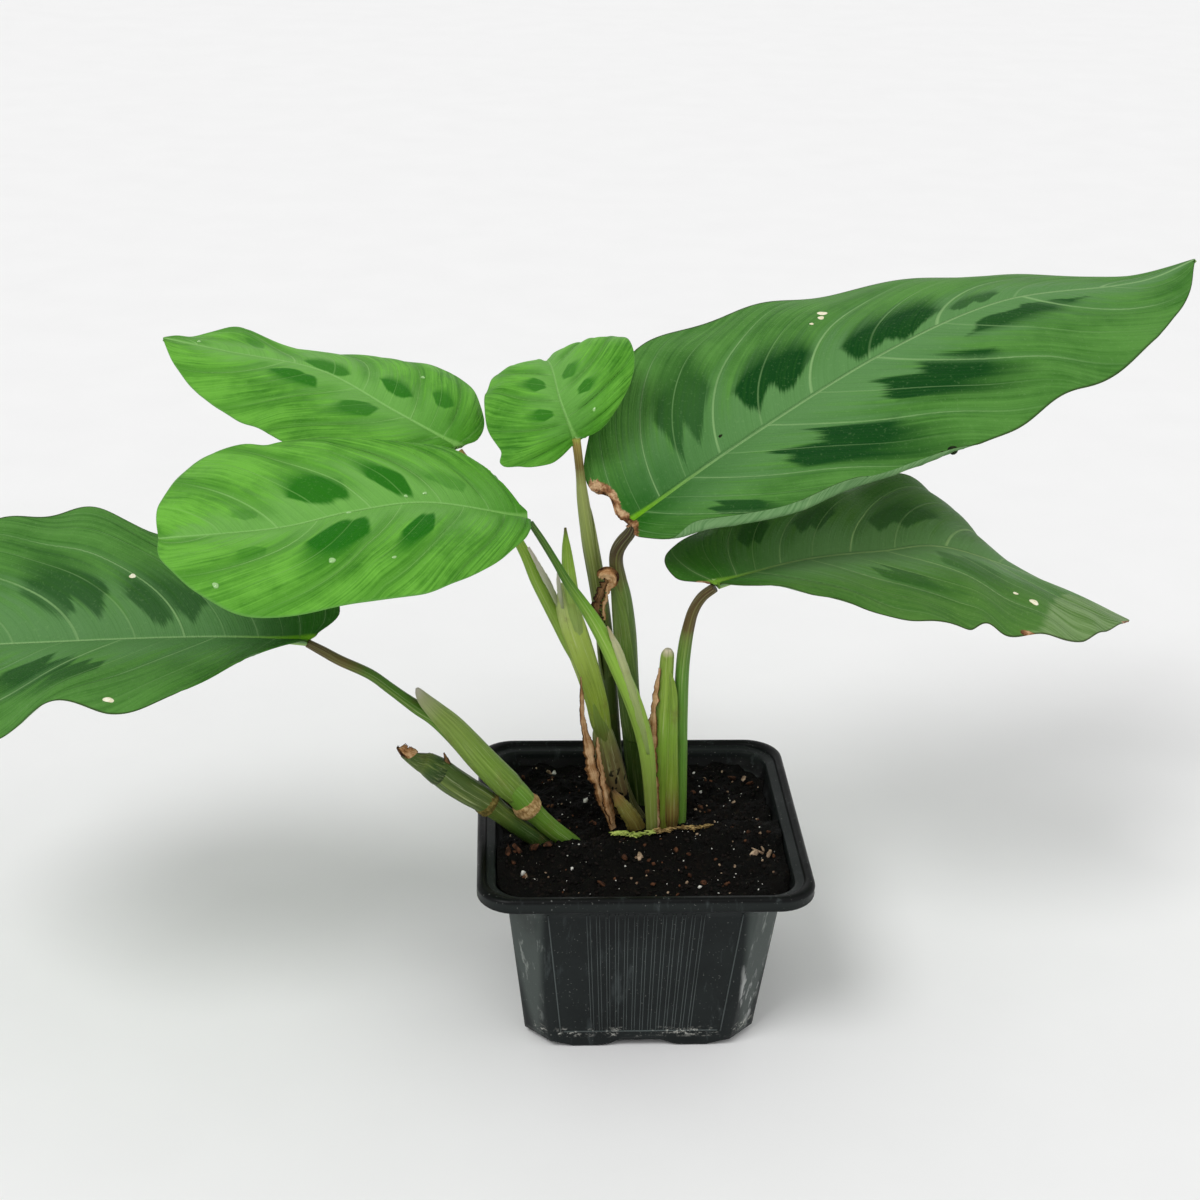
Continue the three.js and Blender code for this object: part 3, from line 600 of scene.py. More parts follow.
def rolled(name, points, normals, outward, share, across, side, edge):
    """Folds the margin up and inwards where the leaf has a rolled strip."""
    for where, first, last, width, degrees in ROLLS.get(name, ()):
        if where != side:
            continue
        fade = smoothstep(first, first + 0.1, share) * (1 - smoothstep(last - 0.1, last, share))
        past = np.clip(across - (edge - width * fade), 0, None)
        bend = math.radians(degrees)
        turn = np.minimum(past / ROLL_RADIUS, bend)
        straight = np.clip(past - ROLL_RADIUS * bend, 0, None)
        flat = ROLL_RADIUS * np.sin(turn) + straight * np.cos(turn) - past
        lift = ROLL_RADIUS * (1 - np.cos(turn)) + straight * np.sin(turn)
        points = points + outward * flat[:, None] + normals * lift[:, None]
    return points


def blade_grid(name):
    """The blade's middle surface as a grid of rows by columns, with its grain and fields."""
    leaf = LEAVES[name]
    rows = LEAF_ROWS + 1
    share = np.linspace(0, 1, rows)
    columns = []
    for step in range(-LEAF_COLUMNS, LEAF_COLUMNS + 1):
        side = LEFT if step < 0 else RIGHT
        reach = np.full(rows, abs(step) / LEAF_COLUMNS)
        points, upward, across = blade_surface(leaf, share, reshaped(name, share, reach, side), side)
        relief, run = blade_relief(name, share, reach, across, side)
        points, burnt = bitten(name, points + upward * relief[:, None], upward)
        beyond = blade_surface(leaf, share, reach + 0.01, side)[0]
        outward = unit(beyond - blade_surface(leaf, share, reach, side)[0])
        normals = unit(square_to(upward, outward))
        edge = margin(leaf, share, side)[:, 1]
        points = rolled(name, points, normals, outward, share, across, side, edge)
        blotch, depth, soft = blotch_field(name, share, reach, side)
        scorch = np.maximum(scorch_field(name, share, reach, side), burnt)
        columns.append(dict(points=points, grain=np.stack([run, side * reach], 1), across=across,
                            blotch=blotch, depth=depth, soft=soft, scorch=scorch, share=share,
                            pale_tip=pale_tip_field(name, share, reach, side)))
    return {key: np.stack([c[key] for c in columns], 1) for key in columns[0]}


def blade_piece(name, top, bottom):
    """A closed blade, thinner at its margin, with the midrib raised below."""
    grid = blade_grid(name)
    rows, columns = grid["across"].shape
    points = grid["points"].reshape(-1, 3)
    normals = blade_normals(points, rows, columns)
    grain = grid["grain"].reshape(-1, 2)
    half = 0.5 * BLADE_THICKNESS * (1 - 0.6 * smoothstep(0.9, 1.0, np.abs(grain[:, 1])))
    rib = RIB_DEPTH * np.exp(-(grid["across"].ravel() / RIB_HALF) ** 2) * (1 - 0.8 * grid["share"].ravel())
    upper = points + normals * half[:, None]
    lower = points - normals * (half + rib)[:, None]
    points, faces = closed_sheet(upper.reshape(rows, columns, 3), lower.reshape(rows, columns, 3))
    cells = (rows - 1) * (columns - 1)
    slots = np.zeros(len(faces), int)
    slots[cells:2 * cells] = 1
    fields = {key: np.tile(grid[key].ravel(), 2) for key in BLADE_FIELDS}
    piece = add_mesh(name + "_blade", points, faces, [top, bottom], slots,
                     grain=np.tile(grain, (2, 1)), fields=fields)
    keep(piece, "dark_leaf" if LEAVES[name]["dark"] else "light_leaf", name)


# ---- leaf materials -----------------------------------------------------
def tint(red, green, blue):
    """A colour seen as 0 to 255 on a screen, as the shaders take it."""
    def linear(v):
        v /= 255
        return v / 12.92 if v <= 0.04045 else ((v + 0.055) / 1.055) ** 2.4
    return (linear(red), linear(green), linear(blue))


# The upper faces: ground from deep to fair, silver along the midrib, a dark halo at its
# foot, and the rest by name. furrow_shade is how dark the painted shade along the vein
# furrows is, ragged how torn a blotch is.
DARK_TOP = dict(
    deep=tint(52, 106, 32), fair=tint(86, 140, 60), silver=tint(92, 138, 80), halo=tint(10, 86, 0),
    blotch=tint(0, 62, 8), vein=tint(134, 174, 112), rib=tint(124, 190, 30), margin=tint(50, 70, 30),
    furrow_shade=0.25, ragged=1.0)
SHADED_TOP = dict(
    deep=tint(56, 104, 36), fair=tint(82, 126, 54), silver=tint(100, 140, 84), halo=tint(46, 104, 22),
    blotch=tint(26, 76, 20), vein=tint(146, 180, 114), rib=tint(132, 182, 60), margin=tint(50, 62, 28),
    furrow_shade=0.3, ragged=0.8)
LIGHT_TOP = dict(
    deep=tint(50, 116, 20), fair=tint(110, 180, 62), silver=tint(112, 170, 80), halo=tint(66, 134, 28),
    blotch=tint(24, 106, 0), vein=tint(132, 186, 100), rib=tint(126, 184, 88), margin=tint(104, 164, 74),
    furrow_shade=0.62, ragged=0.3)


def leaf_top(name, look):
    """A blade's upper face."""
    nodes = Nodes(name, roughness=0.5, specular=0.1)
    run, reach, _ = nodes.parts(nodes.grain())
    out = nodes.size(reach)
    share = nodes.attribute("share")
    across = nodes.attribute("across")
    streak = nodes.fibres(9, 1.1, 1.6, 4, 0.6)
    prong = nodes.fibres(5.5, 0.9)
    hair = nodes.fibres(50, 1.6)
    mottle = nodes.cloud(60, 5, 0.65)
    grit = nodes.cloud(1500, 2, 0.6)

    tone = nodes.plus(nodes.times(streak, 0.5), nodes.times(mottle, 0.5))
    colour = nodes.mix(nodes.ramp(tone, 0.32, 0.6), look["deep"], look["fair"])
    edge = nodes.plus(out, nodes.centred(streak, 1.1))
    silver = nodes.times(nodes.ramp(edge, 0.15, 0.6, 0.85, 0.0), nodes.ramp(share, 0.08, 0.25))
    colour = nodes.mix(silver, colour, look["silver"])
    base = nodes.times(nodes.ramp(share, 0.12, 0.55, 1.0, 0.0), nodes.ramp(across, 2.0, 14.0, 0.85, 0.0))
    base = nodes.times(base, nodes.ramp(mottle, 0.3, 0.6, 0.6, 1.0))
    colour = nodes.mix(base, colour, look["halo"])
    # Painted shade: darker bands along the lateral veins, which lie in the furrows of the relief.
    wave = nodes.size(nodes.math("SINE", nodes.times(run, math.pi)))
    furrow_shade = nodes.times(nodes.ramp(wave, 0.05, 0.75, look["furrow_shade"], 0.0), nodes.ramp(out, 0.05, 0.25))
    furrow_shade = nodes.times(furrow_shade, nodes.ramp(mottle, 0.35, 0.6, 0.5, 1.0))
    colour = nodes.mix(furrow_shade, colour, look["deep"])
    colour = nodes.mix(blotch_mask(nodes, hair, prong, look["ragged"]), colour, look["blotch"])

    fringe = nodes.times(vein_lines(nodes, run, out, 0.1, 0.0), 0.3)
    colour = nodes.mix(fringe, colour, look["silver"])
    veins = nodes.times(vein_lines(nodes, run, out, 0.02), nodes.ramp(mottle, 0.3, 0.6, 0.45, 0.85))
    colour = nodes.mix(veins, colour, look["vein"])
    rib = nodes.ramp(nodes.times(across, nodes.ramp(share, 0.0, 0.6, 0.75, 2.6)), 0.45, 1.0, 0.9, 0.0)
    rib_colour = nodes.mix(nodes.ramp(share, 0.15, 0.45), look["rib"], look["vein"])
    colour = nodes.mix(rib, colour, rib_colour)
    tip = nodes.plus(nodes.attribute("pale_tip"), nodes.centred(prong, 0.1))
    tip_colour = nodes.mix(nodes.ramp(streak, 0.35, 0.6), tint(84, 122, 52), tint(132, 160, 106))
    colour = nodes.mix(nodes.ramp(tip, -0.02, 0.03, 0.0, 0.85), colour, tip_colour)
    colour = nodes.mix(nodes.ramp(hair, 0.4, 0.7, 0.0, 0.16), colour, look["deep"])
    colour = nodes.mix(nodes.ramp(grit, 0.58, 0.72, 0.0, 0.12), colour, look["vein"])
    colour = nodes.mix(nodes.ramp(out, 0.985, 0.998, 0.0, 0.8), colour, look["margin"])

    height = nodes.plus(nodes.times(hair, 0.5), nodes.times(veins, -0.5))
    height = nodes.plus(height, nodes.times(grit, 0.35))
    nodes.bump(nodes.plus(height, nodes.times(streak, 0.8)), 0.35, 0.8)
    return nodes.finish(scorched(nodes, colour), nodes.ramp(mottle, 0.3, 0.7, 0.42, 0.56))


def blotch_mask(nodes, hair, prong, ragged):
    """Dark where the blotch field is above zero, with edges that feather along the veins."""
    rough = nodes.plus(nodes.centred(prong, 1.3 * ragged), nodes.centred(hair, 0.5 * ragged))
    field = nodes.plus(nodes.attribute("blotch"), rough)
    width = nodes.plus(nodes.times(nodes.attribute("soft"), 0.65), 0.16)
    step = nodes.math("DIVIDE", nodes.plus(field, 0.08), width)
    return nodes.times(nodes.ramp(step, -1.0, 1.0), nodes.attribute("depth"))


def vein_lines(nodes, run, out, half_width=0.03, minor_strength=0.45):
    """Pale lines along the major lateral veins, and fainter ones halfway between them."""
    def line(value, half):
        gap = nodes.size(nodes.minus(value, nodes.math("ROUND", value)))
        return nodes.ramp(gap, half * 0.3, half, 1.0, 0.0)
    lines = line(run, half_width)
    if minor_strength:
        minor = nodes.times(line(nodes.plus(run, 0.5), half_width * 0.7), minor_strength)
        lines = nodes.math("MAXIMUM", lines, minor)
    return nodes.times(lines, nodes.ramp(out, 0.55, 0.98, 1.0, 0.15))


def scorched(nodes, colour):
    """The colour with its dried patches, which run from dark brown to tan."""
    noise = nodes.cloud(420, 4, 0.7)
    field = nodes.plus(nodes.attribute("scorch"), nodes.centred(noise, 1.6))
    brown = nodes.colours(noise, [(0.34, (70, 40, 20)), (0.5, (150, 106, 70)), (0.62, (206, 172, 132))])
    return nodes.mix(nodes.ramp(field, 0.0, 0.25), colour, brown)


def leaf_bottom():
    """The blades' undersides: paler, with a broad midrib."""
    nodes = Nodes("leaf_underside", roughness=0.6, specular=0.15)
    run, reach, _ = nodes.parts(nodes.grain())
    streak = nodes.fibres(30, 1.6, 1.2, 3, 0.6)
    colour = nodes.mix(nodes.ramp(streak, 0.3, 0.7), tint(84, 126, 74), tint(116, 154, 102))
    veins = nodes.times(vein_lines(nodes, run, nodes.size(reach)), 0.7)
    colour = nodes.mix(veins, colour, tint(140, 172, 116))
    colour = nodes.mix(nodes.ramp(nodes.attribute("across"), 0.5, 1.1, 0.9, 0.0), colour, tint(150, 186, 108))
    nodes.bump(streak, 0.3, 0.5)
    return nodes.finish(scorched(nodes, colour))


def add_leaves():
    dark = leaf_top("dark_leaf_top", DARK_TOP)
    light = leaf_top("light_leaf_top", LIGHT_TOP)
    shaded = leaf_top("shaded_leaf_top", SHADED_TOP)
    bottom = leaf_bottom()
    for name, leaf in LEAVES.items():
        top = dark if leaf["dark"] else light
        blade_piece(name, shaded if name == "leaf_lower_right" else top, bottom)


# ---- pieces made of several surfaces ------------------------------------
class Parts:
    """Collects surfaces that make up one piece."""

    def __init__(self):
        self.points, self.faces, self.slots, self.grain = [], [], [], []
        self.count = 0

    def add(self, points, faces, slot=0, grain=None):
        self.points.append(np.asarray(points, float))
        self.faces += [[int(v) + self.count for v in face] for face in faces]
        self.slots += [slot] * len(faces)
        self.grain.append(np.zeros((len(points), 2)) if grain is None else grain)
        self.count += len(points)

    def finish(self, name, materials, slot, *nodes):
        piece = add_mesh(name, np.vstack(self.points), self.faces, materials, self.slots,
                         grain=np.vstack(self.grain))
        keep(piece, slot, *nodes)


def skin(rings):
    """A closed skin over rings of points, with a fan on each end."""
    rings = np.asarray(rings, float)
    rows, count, _ = rings.shape
    points = rings.reshape(-1, 3)
    faces = grid_faces(rows, count, wrap=True)[:, ::-1].tolist()
    middle = len(points)
    points = np.vstack([points, rings[0].mean(0), rings[-1].mean(0)])
    last = (rows - 1) * count
    for k in range(count):
        step = (k + 1) % count
        faces.append([middle, k, step])
        faces.append([middle + 1, last + step, last + k])
    return points, faces


THINNEST = 0.12      # the least radius or half width


def path(stations, shares):
    """Places and tangents along a spline of stations."""
    place, slope, _ = even_spline(np.asarray(stations, float)[:, :3], shares, True)
    return place, unit(slope)


def untwisted(tangents):
    """A pair of directions square to a path, that don't turn about it."""
    first = np.cross(tangents[0], (0, 1, 0.2))
    sides = []
    for tangent in tangents:
        first = first - tangent * first.dot(tangent)
        first = first / np.linalg.norm(first)
        sides.append(first)
    sides = np.array(sides)
    return sides, np.cross(tangents, sides)


def turned_to(facing, tangents):
    """A pair of directions square to a path: towards facing, and to its side."""
    face = np.asarray(facing, float)
    back = unit(face[None, :] - tangents * (tangents @ face)[:, None])
    return back, np.cross(tangents, back)


def girth_along(stations, shares):
    """The stations' last value, a radius or half width, at shares of the path's length."""
    stations = np.asarray(stations, float)
    steps, _ = even_steps(stations[:, :3], shares, True, 400)
    return np.maximum(spline(stations[:, 3:4], steps)[0][:, 0], THINNEST)


def add_tube(parts, stations, steps, slot=0, sides=26, ridges=0, ridge_height=0.0, flat=1.0, seed=0):
    """A round stem along its stations of x, y, z and radius."""
    shares = np.linspace(0, 1, steps + 1)
    place, tangents = path(stations, shares)
    side, other = untwisted(tangents)
    radius = girth_along(stations, shares)
    angle = np.linspace(0, 2 * math.pi, sides, endpoint=False)
    lumps = 1 + 0.03 * np.sin(2.3 * angle[None, :] + 9 * shares[:, None] + seed)
    ribbed = ridge_height * np.cos(ridges * angle)[None, :] if ridges else 0
    r = radius[:, None] * lumps + ribbed
    rings = (place[:, None, :] + (r * np.cos(angle))[..., None] * side[:, None, :]
             + (r * flat * np.sin(angle))[..., None] * other[:, None, :])
    points, faces = skin(rings)
    along = np.repeat(shares, sides)
    around = np.tile(angle / (2 * math.pi), steps + 1)
    parts.add(points, faces, slot, np.stack([np.r_[along, 0, 1], np.r_[around, 0.5, 0.5]], 1))


def add_sheet(parts, layers, shares, across, slot):
    """A closed sheet between two layers, each a list of lines that run along the shares."""
    upper, lower = [np.stack(lines, 1) for lines in layers]
    points, faces = closed_sheet(upper, lower)
    grain = np.stack([np.repeat(shares, len(across)), np.tile(across, len(shares))], 1)
    parts.add(points, faces, slot, np.tile(grain, (2, 1)))


SHEATH_THICKNESS = 0.22
SHEATH_SINK = 0.3    # how deep its foot lies in the stem
SHEATH_ARCS = 22
RIBBON_ARCS = 10
RIBBON_KNOTS = 34    # broad dents and bulges along an edge


def add_sheath(parts, stations, facing, opening, seed, tip, slot=0, steps=60, gap=0.12, ragged=0.0):
    """A leaf sheath: a sleeve open along one side, which narrows to a tip.

    facing is the direction of its back, opposite the slit, and opening is the pair of
    half angles, in degrees, that it wraps at its foot and below its tip. Its foot sinks
    into the stem and the rest stands off by the gap.
    """
    shares = np.linspace(0, 1, steps + 1)
    place, tangents = path(stations, shares)
    risen = smoothstep(0.0, 0.1, shares)
    radius = girth_along(stations, shares) + gap * risen - SHEATH_SINK * (1 - risen)
    half = np.radians(opening[0] + (opening[1] - opening[0]) * shares)
    closing = np.clip((1 - shares) / tip, 0, 1)
    half = np.maximum(half * np.sqrt(1 - (1 - closing) ** 2), 0.03)
    wobble = np.random.default_rng(seed).normal(size=(2, steps + 1)) * ragged
    back, flank = turned_to(facing, tangents)
    layers = []
    for layer in (SHEATH_THICKNESS, 0.0):
        lines = []
        for k in range(SHEATH_ARCS + 1):
            share = 2 * k / SHEATH_ARCS - 1
            angle = (half + wobble[0 if share < 0 else 1] * abs(share)) * share
            r = radius + layer * (1 - 0.7 * abs(share) ** 4)
            lines.append(place + back * (r * np.cos(angle))[:, None] + flank * (r * np.sin(angle))[:, None])
        layers.append(lines)
    add_sheet(parts, layers, shares, np.linspace(-1, 1, SHEATH_ARCS + 1), slot)


def add_ribbon(parts, stations, facing, seed, steps, ragged, slot=0, thickness=0.25, curl=0.35, twist=0.0,
               notches=()):
    """A thin strip along stations of x, y, z and half width, its face turned to facing.

    Its edges curl back by a share of the half width, and notches are (side, share, depth).
    """
    shares = np.linspace(0, 1, steps + 1)
    place, tangents = path(stations, shares)
    half = girth_along(stations, shares)
    back, flank = turned_to(facing, tangents)
    turn = np.radians(twist) * (shares - 0.5)
    front = back * np.cos(turn)[:, None] + flank * np.sin(turn)[:, None]
    flank = np.cross(tangents, front)
    rng = np.random.default_rng(seed)
    widths = {}
    for side in (LEFT, RIGHT):
        knots = rng.normal(size=RIBBON_KNOTS)
        rough = np.interp(shares, np.linspace(0, 1, RIBBON_KNOTS), knots) * ragged
        rough += rng.normal(size=steps + 1) * ragged * 0.4
        for where, at, depth in notches:
            if where == side:
                rough -= depth * np.exp(-((shares - at) / 0.035) ** 2)
        widths[side] = half * np.clip(1 + rough, 0.15, 1.6)
    layers = []
    for lift in (thickness / 2, -thickness / 2):
        lines = []
        for u in np.linspace(-1, 1, RIBBON_ARCS + 1):
            reach = widths[LEFT if u < 0 else RIGHT] * u
            bow = -curl * half * u * u
            lines.append(place + flank * reach[:, None] + front * (bow + lift * (1 - 0.6 * u ** 4))[:, None])
        layers.append(lines)
    add_sheet(parts, layers, shares, np.linspace(0, 1, RIBBON_ARCS + 1), slot)


# ---- pot ----------------------------------------------------------------
RIM_HALF = 35
POT_HEIGHT = 43.3
BASE_HALF = 24.7
SHOULDER_HALF = 28.7
SHOULDER_Z = 36
MOUTH_HALF = 31.2
WALL = 1.1
LIP_Z = POT_HEIGHT - 3.2
MOUTH_Z = POT_HEIGHT - 1.4
BEAD = 1.0
CORNER_CUT = 5.5
FOOT_CUT = 10
FOOT_Z = 1.6
RIM_CORNER = 8
MOUTH_CORNER = 6
FLOOR_Z = 3
CHANNEL_DEPTH = 1.7
CHANNEL_TOP_HALF = 4
CHANNEL_FOOT_HALF = 9
PAD_RADIUS = 7
DRAIN_RADIUS = 2.4
DRAIN_OFFSET = 14
DRAIN_SIDES = 32
DRAIN_CUT = (-2.0, 6.0)    # the heights between which the drain holes are cut
GAP = 0.3
LIP_ROUND = 0.45
BAND_RINGS = 4       # down the sloping band between the rim's bead and its mouth
# Half widths of the rings under the base, from its middle outwards, and of those on the
# floor inside, from its edge inwards.
UNDERSIDE = (0.5, 3, 5.5, 7, 7.8, 9, 11, 14, 17, 20, 22, 23.4)
INNER_FLOOR = (18, 12, 6, 1)
CORNER_STEPS = 10
SIDE_STEPS = 26
# The mould lines on each side wall: pairs of fine ribs, a taller rib near each end, and a
# foot line. A span is in height, a size is width and height, and the end ribs' places are
# how far out they stand at the foot and at the top.
RIB_PAIRS = 13
RIB_PITCH = 2.0
PAIR_HALF = 0.34
RIB_TAPER = 0.86
RIB_SPAN = (4.4, SHOULDER_Z - 0.2)
RIB_SIZE = (0.22, 0.1)
END_RIB_SPAN = (4.0, SHOULDER_Z - 0.2)
END_RIB_PLACES = (17.2, 20.3)
END_RIB_SIZE = (0.35, 0.16)
FOOT_LINE_HALF = 16.5
FOOT_LINE_Z = 4.2
# Cross-sections: share of the width and of the height for a rib; offset in mm for the foot line.
RIB_PROFILE = ((-0.5, -0.6), (0.5, -0.6), (0.25, 1), (-0.25, 1))
LINE_PROFILE = ((-0.25, -0.6), (0.25, -0.6), (0.12, 1), (-0.12, 1))
LINE_HEIGHT = 0.1


def quarter_turn(side):
    """Turns points of the plane by a number of quarter turns, when they are multiplied by it."""
    c, s = round(math.cos(side * math.pi / 2)), round(math.sin(side * math.pi / 2))
    return np.array([[c, s], [-s, c]])


def square_ring(half, corner, roundness, z, inset=0.0, corner_steps=CORNER_STEPS, side_steps=SIDE_STEPS):
    """A square ring whose corners are cut straight or rounded, moved inwards by the inset."""
    shrink = (2 - math.sqrt(2)) * (1 - roundness) + roundness
    outer = half - inset
    reach = corner - inset * shrink
    inner = outer - reach
    share = np.linspace(0, 1, corner_steps + 1)
    angle = share * math.pi / 2
    cut = np.stack([outer - reach * share, outer - reach * (1 - share)], 1)
    arc = np.stack([inner + reach * np.cos(angle), inner + reach * np.sin(angle)], 1)
    bend = cut + (arc - cut) * roundness
    wall = np.linspace(0, 1, side_steps + 1)[1:-1, None]
    start = bend[-1]
    end = np.array([-bend[0][1], bend[0][0]])
    quarter = np.vstack([bend, start + (end - start) * wall])
    flat = np.vstack([quarter @ quarter_turn(side) for side in range(4)])
    return np.column_stack([flat, np.full(len(flat), float(z))])


def channel_height(points):
    """How far the drainage channels lift the underside at these points."""
    across = np.minimum(np.abs(points[:, 0]), np.abs(points[:, 1]))
    along = np.maximum(np.abs(points[:, 0]), np.abs(points[:, 1]))
    slope = (CHANNEL_FOOT_HALF - across) / (CHANNEL_FOOT_HALF - CHANNEL_TOP_HALF)
    depth = CHANNEL_DEPTH * smoothstep(0, 1, slope)
    return depth * smoothstep(PAD_RADIUS - 0.5, PAD_RADIUS + 0.8, along)


def lerp_rings(first, last, count):
    """Rings evenly between two, without the first."""
    return [first + (last - first) * k / count for k in range(1, count + 1)]


def pot_outside():
    """The pot's outer rings from the middle of the base to the rim's bead."""
    rings = [square_ring(half, half * FOOT_CUT / BASE_HALF, 0, 0) for half in UNDERSIDE]
    rings.append(square_ring(BASE_HALF - 0.3, FOOT_CUT, 0, 0))
    rings.append(square_ring(BASE_HALF, FOOT_CUT, 0, 0.4))
    foot = square_ring(BASE_HALF + 0.1, CORNER_CUT, 0, FOOT_Z)
    shoulder = square_ring(SHOULDER_HALF, CORNER_CUT, 0.1, SHOULDER_Z)
    rings += lerp_rings(rings[-1], foot, 5)
    for ring in rings:
        ring[:, 2] = np.maximum(ring[:, 2], channel_height(ring))
    rings += lerp_rings(foot, shoulder, 30)
    neck = square_ring(MOUTH_HALF + WALL, RIM_CORNER, 0.7, LIP_Z - WALL)
    rings += lerp_rings(shoulder, neck, 4)
    rings += lerp_rings(neck, square_ring(RIM_HALF - WALL, RIM_CORNER, 1, LIP_Z), 2)
    rings.append(square_ring(RIM_HALF - LIP_ROUND, RIM_CORNER, 1, LIP_Z - 0.02))
    for turn in (20, 45, 70, 90):
        out = LIP_ROUND * math.sin(math.radians(turn))
        up = LIP_ROUND * (1 - math.cos(math.radians(turn)))
        rings.append(square_ring(RIM_HALF - LIP_ROUND + out, RIM_CORNER, 1, LIP_Z + up))
    rings.append(square_ring(RIM_HALF - 0.12, RIM_CORNER, 1, LIP_Z + 1.3))
    for turn in range(0, 181, 15):
        out = BEAD * math.cos(math.radians(turn))
        up = BEAD * math.sin(math.radians(turn))
        rings.append(square_ring(RIM_HALF - BEAD + out, RIM_CORNER - 0.3, 1, POT_HEIGHT - BEAD + up))
    return rings


def pot_inside():
    """The rings from the rim's bead down its sloping band to the floor."""
    bead_foot = square_ring(RIM_HALF - 2 * BEAD - 0.15, RIM_CORNER - BEAD, 1, POT_HEIGHT - BEAD - 0.12)
    mouth = square_ring(MOUTH_HALF, MOUTH_CORNER, 1, MOUTH_Z)
    lip = square_ring(MOUTH_HALF, MOUTH_CORNER, 0.7, LIP_Z, GAP)
    shoulder = square_ring(SHOULDER_HALF, CORNER_CUT, 0.1, SHOULDER_Z, WALL)
    floor = square_ring(BASE_HALF, CORNER_CUT, 0, FLOOR_Z, WALL)
    rings = [bead_foot] + lerp_rings(bead_foot, mouth, BAND_RINGS)
    rings += lerp_rings(mouth, lip, 3)
    rings += lerp_rings(lip, shoulder, 4)
    rings += lerp_rings(shoulder, floor, 6)
    return rings + [square_ring(half, half * CORNER_CUT / BASE_HALF, 0, FLOOR_Z) for half in INNER_FLOOR]


def cut_drains(pot):
    """Cuts the four drain holes through the base."""
    for side in range(4):
        angle = side * math.pi / 2
        centre = np.array([math.sin(angle), -math.cos(angle)]) * DRAIN_OFFSET
        turn = np.linspace(0, 2 * math.pi, DRAIN_SIDES, endpoint=False)
        circle = centre + DRAIN_RADIUS * np.stack([np.cos(turn), np.sin(turn)], 1)
        rings = [np.column_stack([circle, np.full(DRAIN_SIDES, z)]) for z in DRAIN_CUT]
        cutter = add_mesh("cutter", *skin(rings), [], smooth=False)
        modifier = pot.modifiers.new("drain", "BOOLEAN")
        modifier.operation = "DIFFERENCE"
        modifier.solver = "EXACT"
        modifier.object = cutter
        with bpy.context.temp_override(object=pot, active_object=pot, selected_objects=[pot]):
            bpy.ops.object.modifier_apply(modifier="drain")
        bpy.data.objects.remove(cutter)


def wall_point(side, across, z, out):
    """A point on the outer face of one side wall, or proud of it."""
    half = BASE_HALF + 0.1 + (SHOULDER_HALF - BASE_HALF - 0.1) * (z - FOOT_Z) / (SHOULDER_Z - FOOT_Z)
    return [*(np.array([across, -(half + out)]) @ quarter_turn(side)), z]


def add_rib(parts, side, low, high, span, size):
    """A thin moulded line up a side wall, from low across it at the foot of its span to high at the top."""
    width, height = size
    bottom, top = span
    rings = []
    for share in np.linspace(0, 1, 14):
        middle = low + (high - low) * share
        z = bottom + (top - bottom) * share
        rings.append([wall_point(side, middle + width * dx, z, height * up) for dx, up in RIB_PROFILE])
    parts.add(*skin(rings))


def add_foot_line(parts, side):
    """A thin moulded line across the foot of a side wall."""
    rings = []
    for share in np.linspace(0, 1, 30):
        across = -FOOT_LINE_HALF + 2 * FOOT_LINE_HALF * share
        rings.append([wall_point(side, across, FOOT_LINE_Z + dz, LINE_HEIGHT * up)
                      for dz, up in LINE_PROFILE])
    parts.add(*skin(rings))


def pot_ribs(plastic):
    """Fine vertical mould lines in pairs on each side, with a taller one near each end."""
    parts = Parts()
    for side in range(4):
        for k in range(RIB_PAIRS):
            middle = (k - (RIB_PAIRS - 1) / 2) * RIB_PITCH
            for high in (middle - PAIR_HALF, middle + PAIR_HALF):
                add_rib(parts, side, high * RIB_TAPER, high, RIB_SPAN, RIB_SIZE)
        for end in (-1, 1):
            low, high = (end * place for place in END_RIB_PLACES)
            add_rib(parts, side, low, high, END_RIB_SPAN, END_RIB_SIZE)
        add_foot_line(parts, side)
    parts.finish("pot_ribs", [plastic], "pot_plastic")


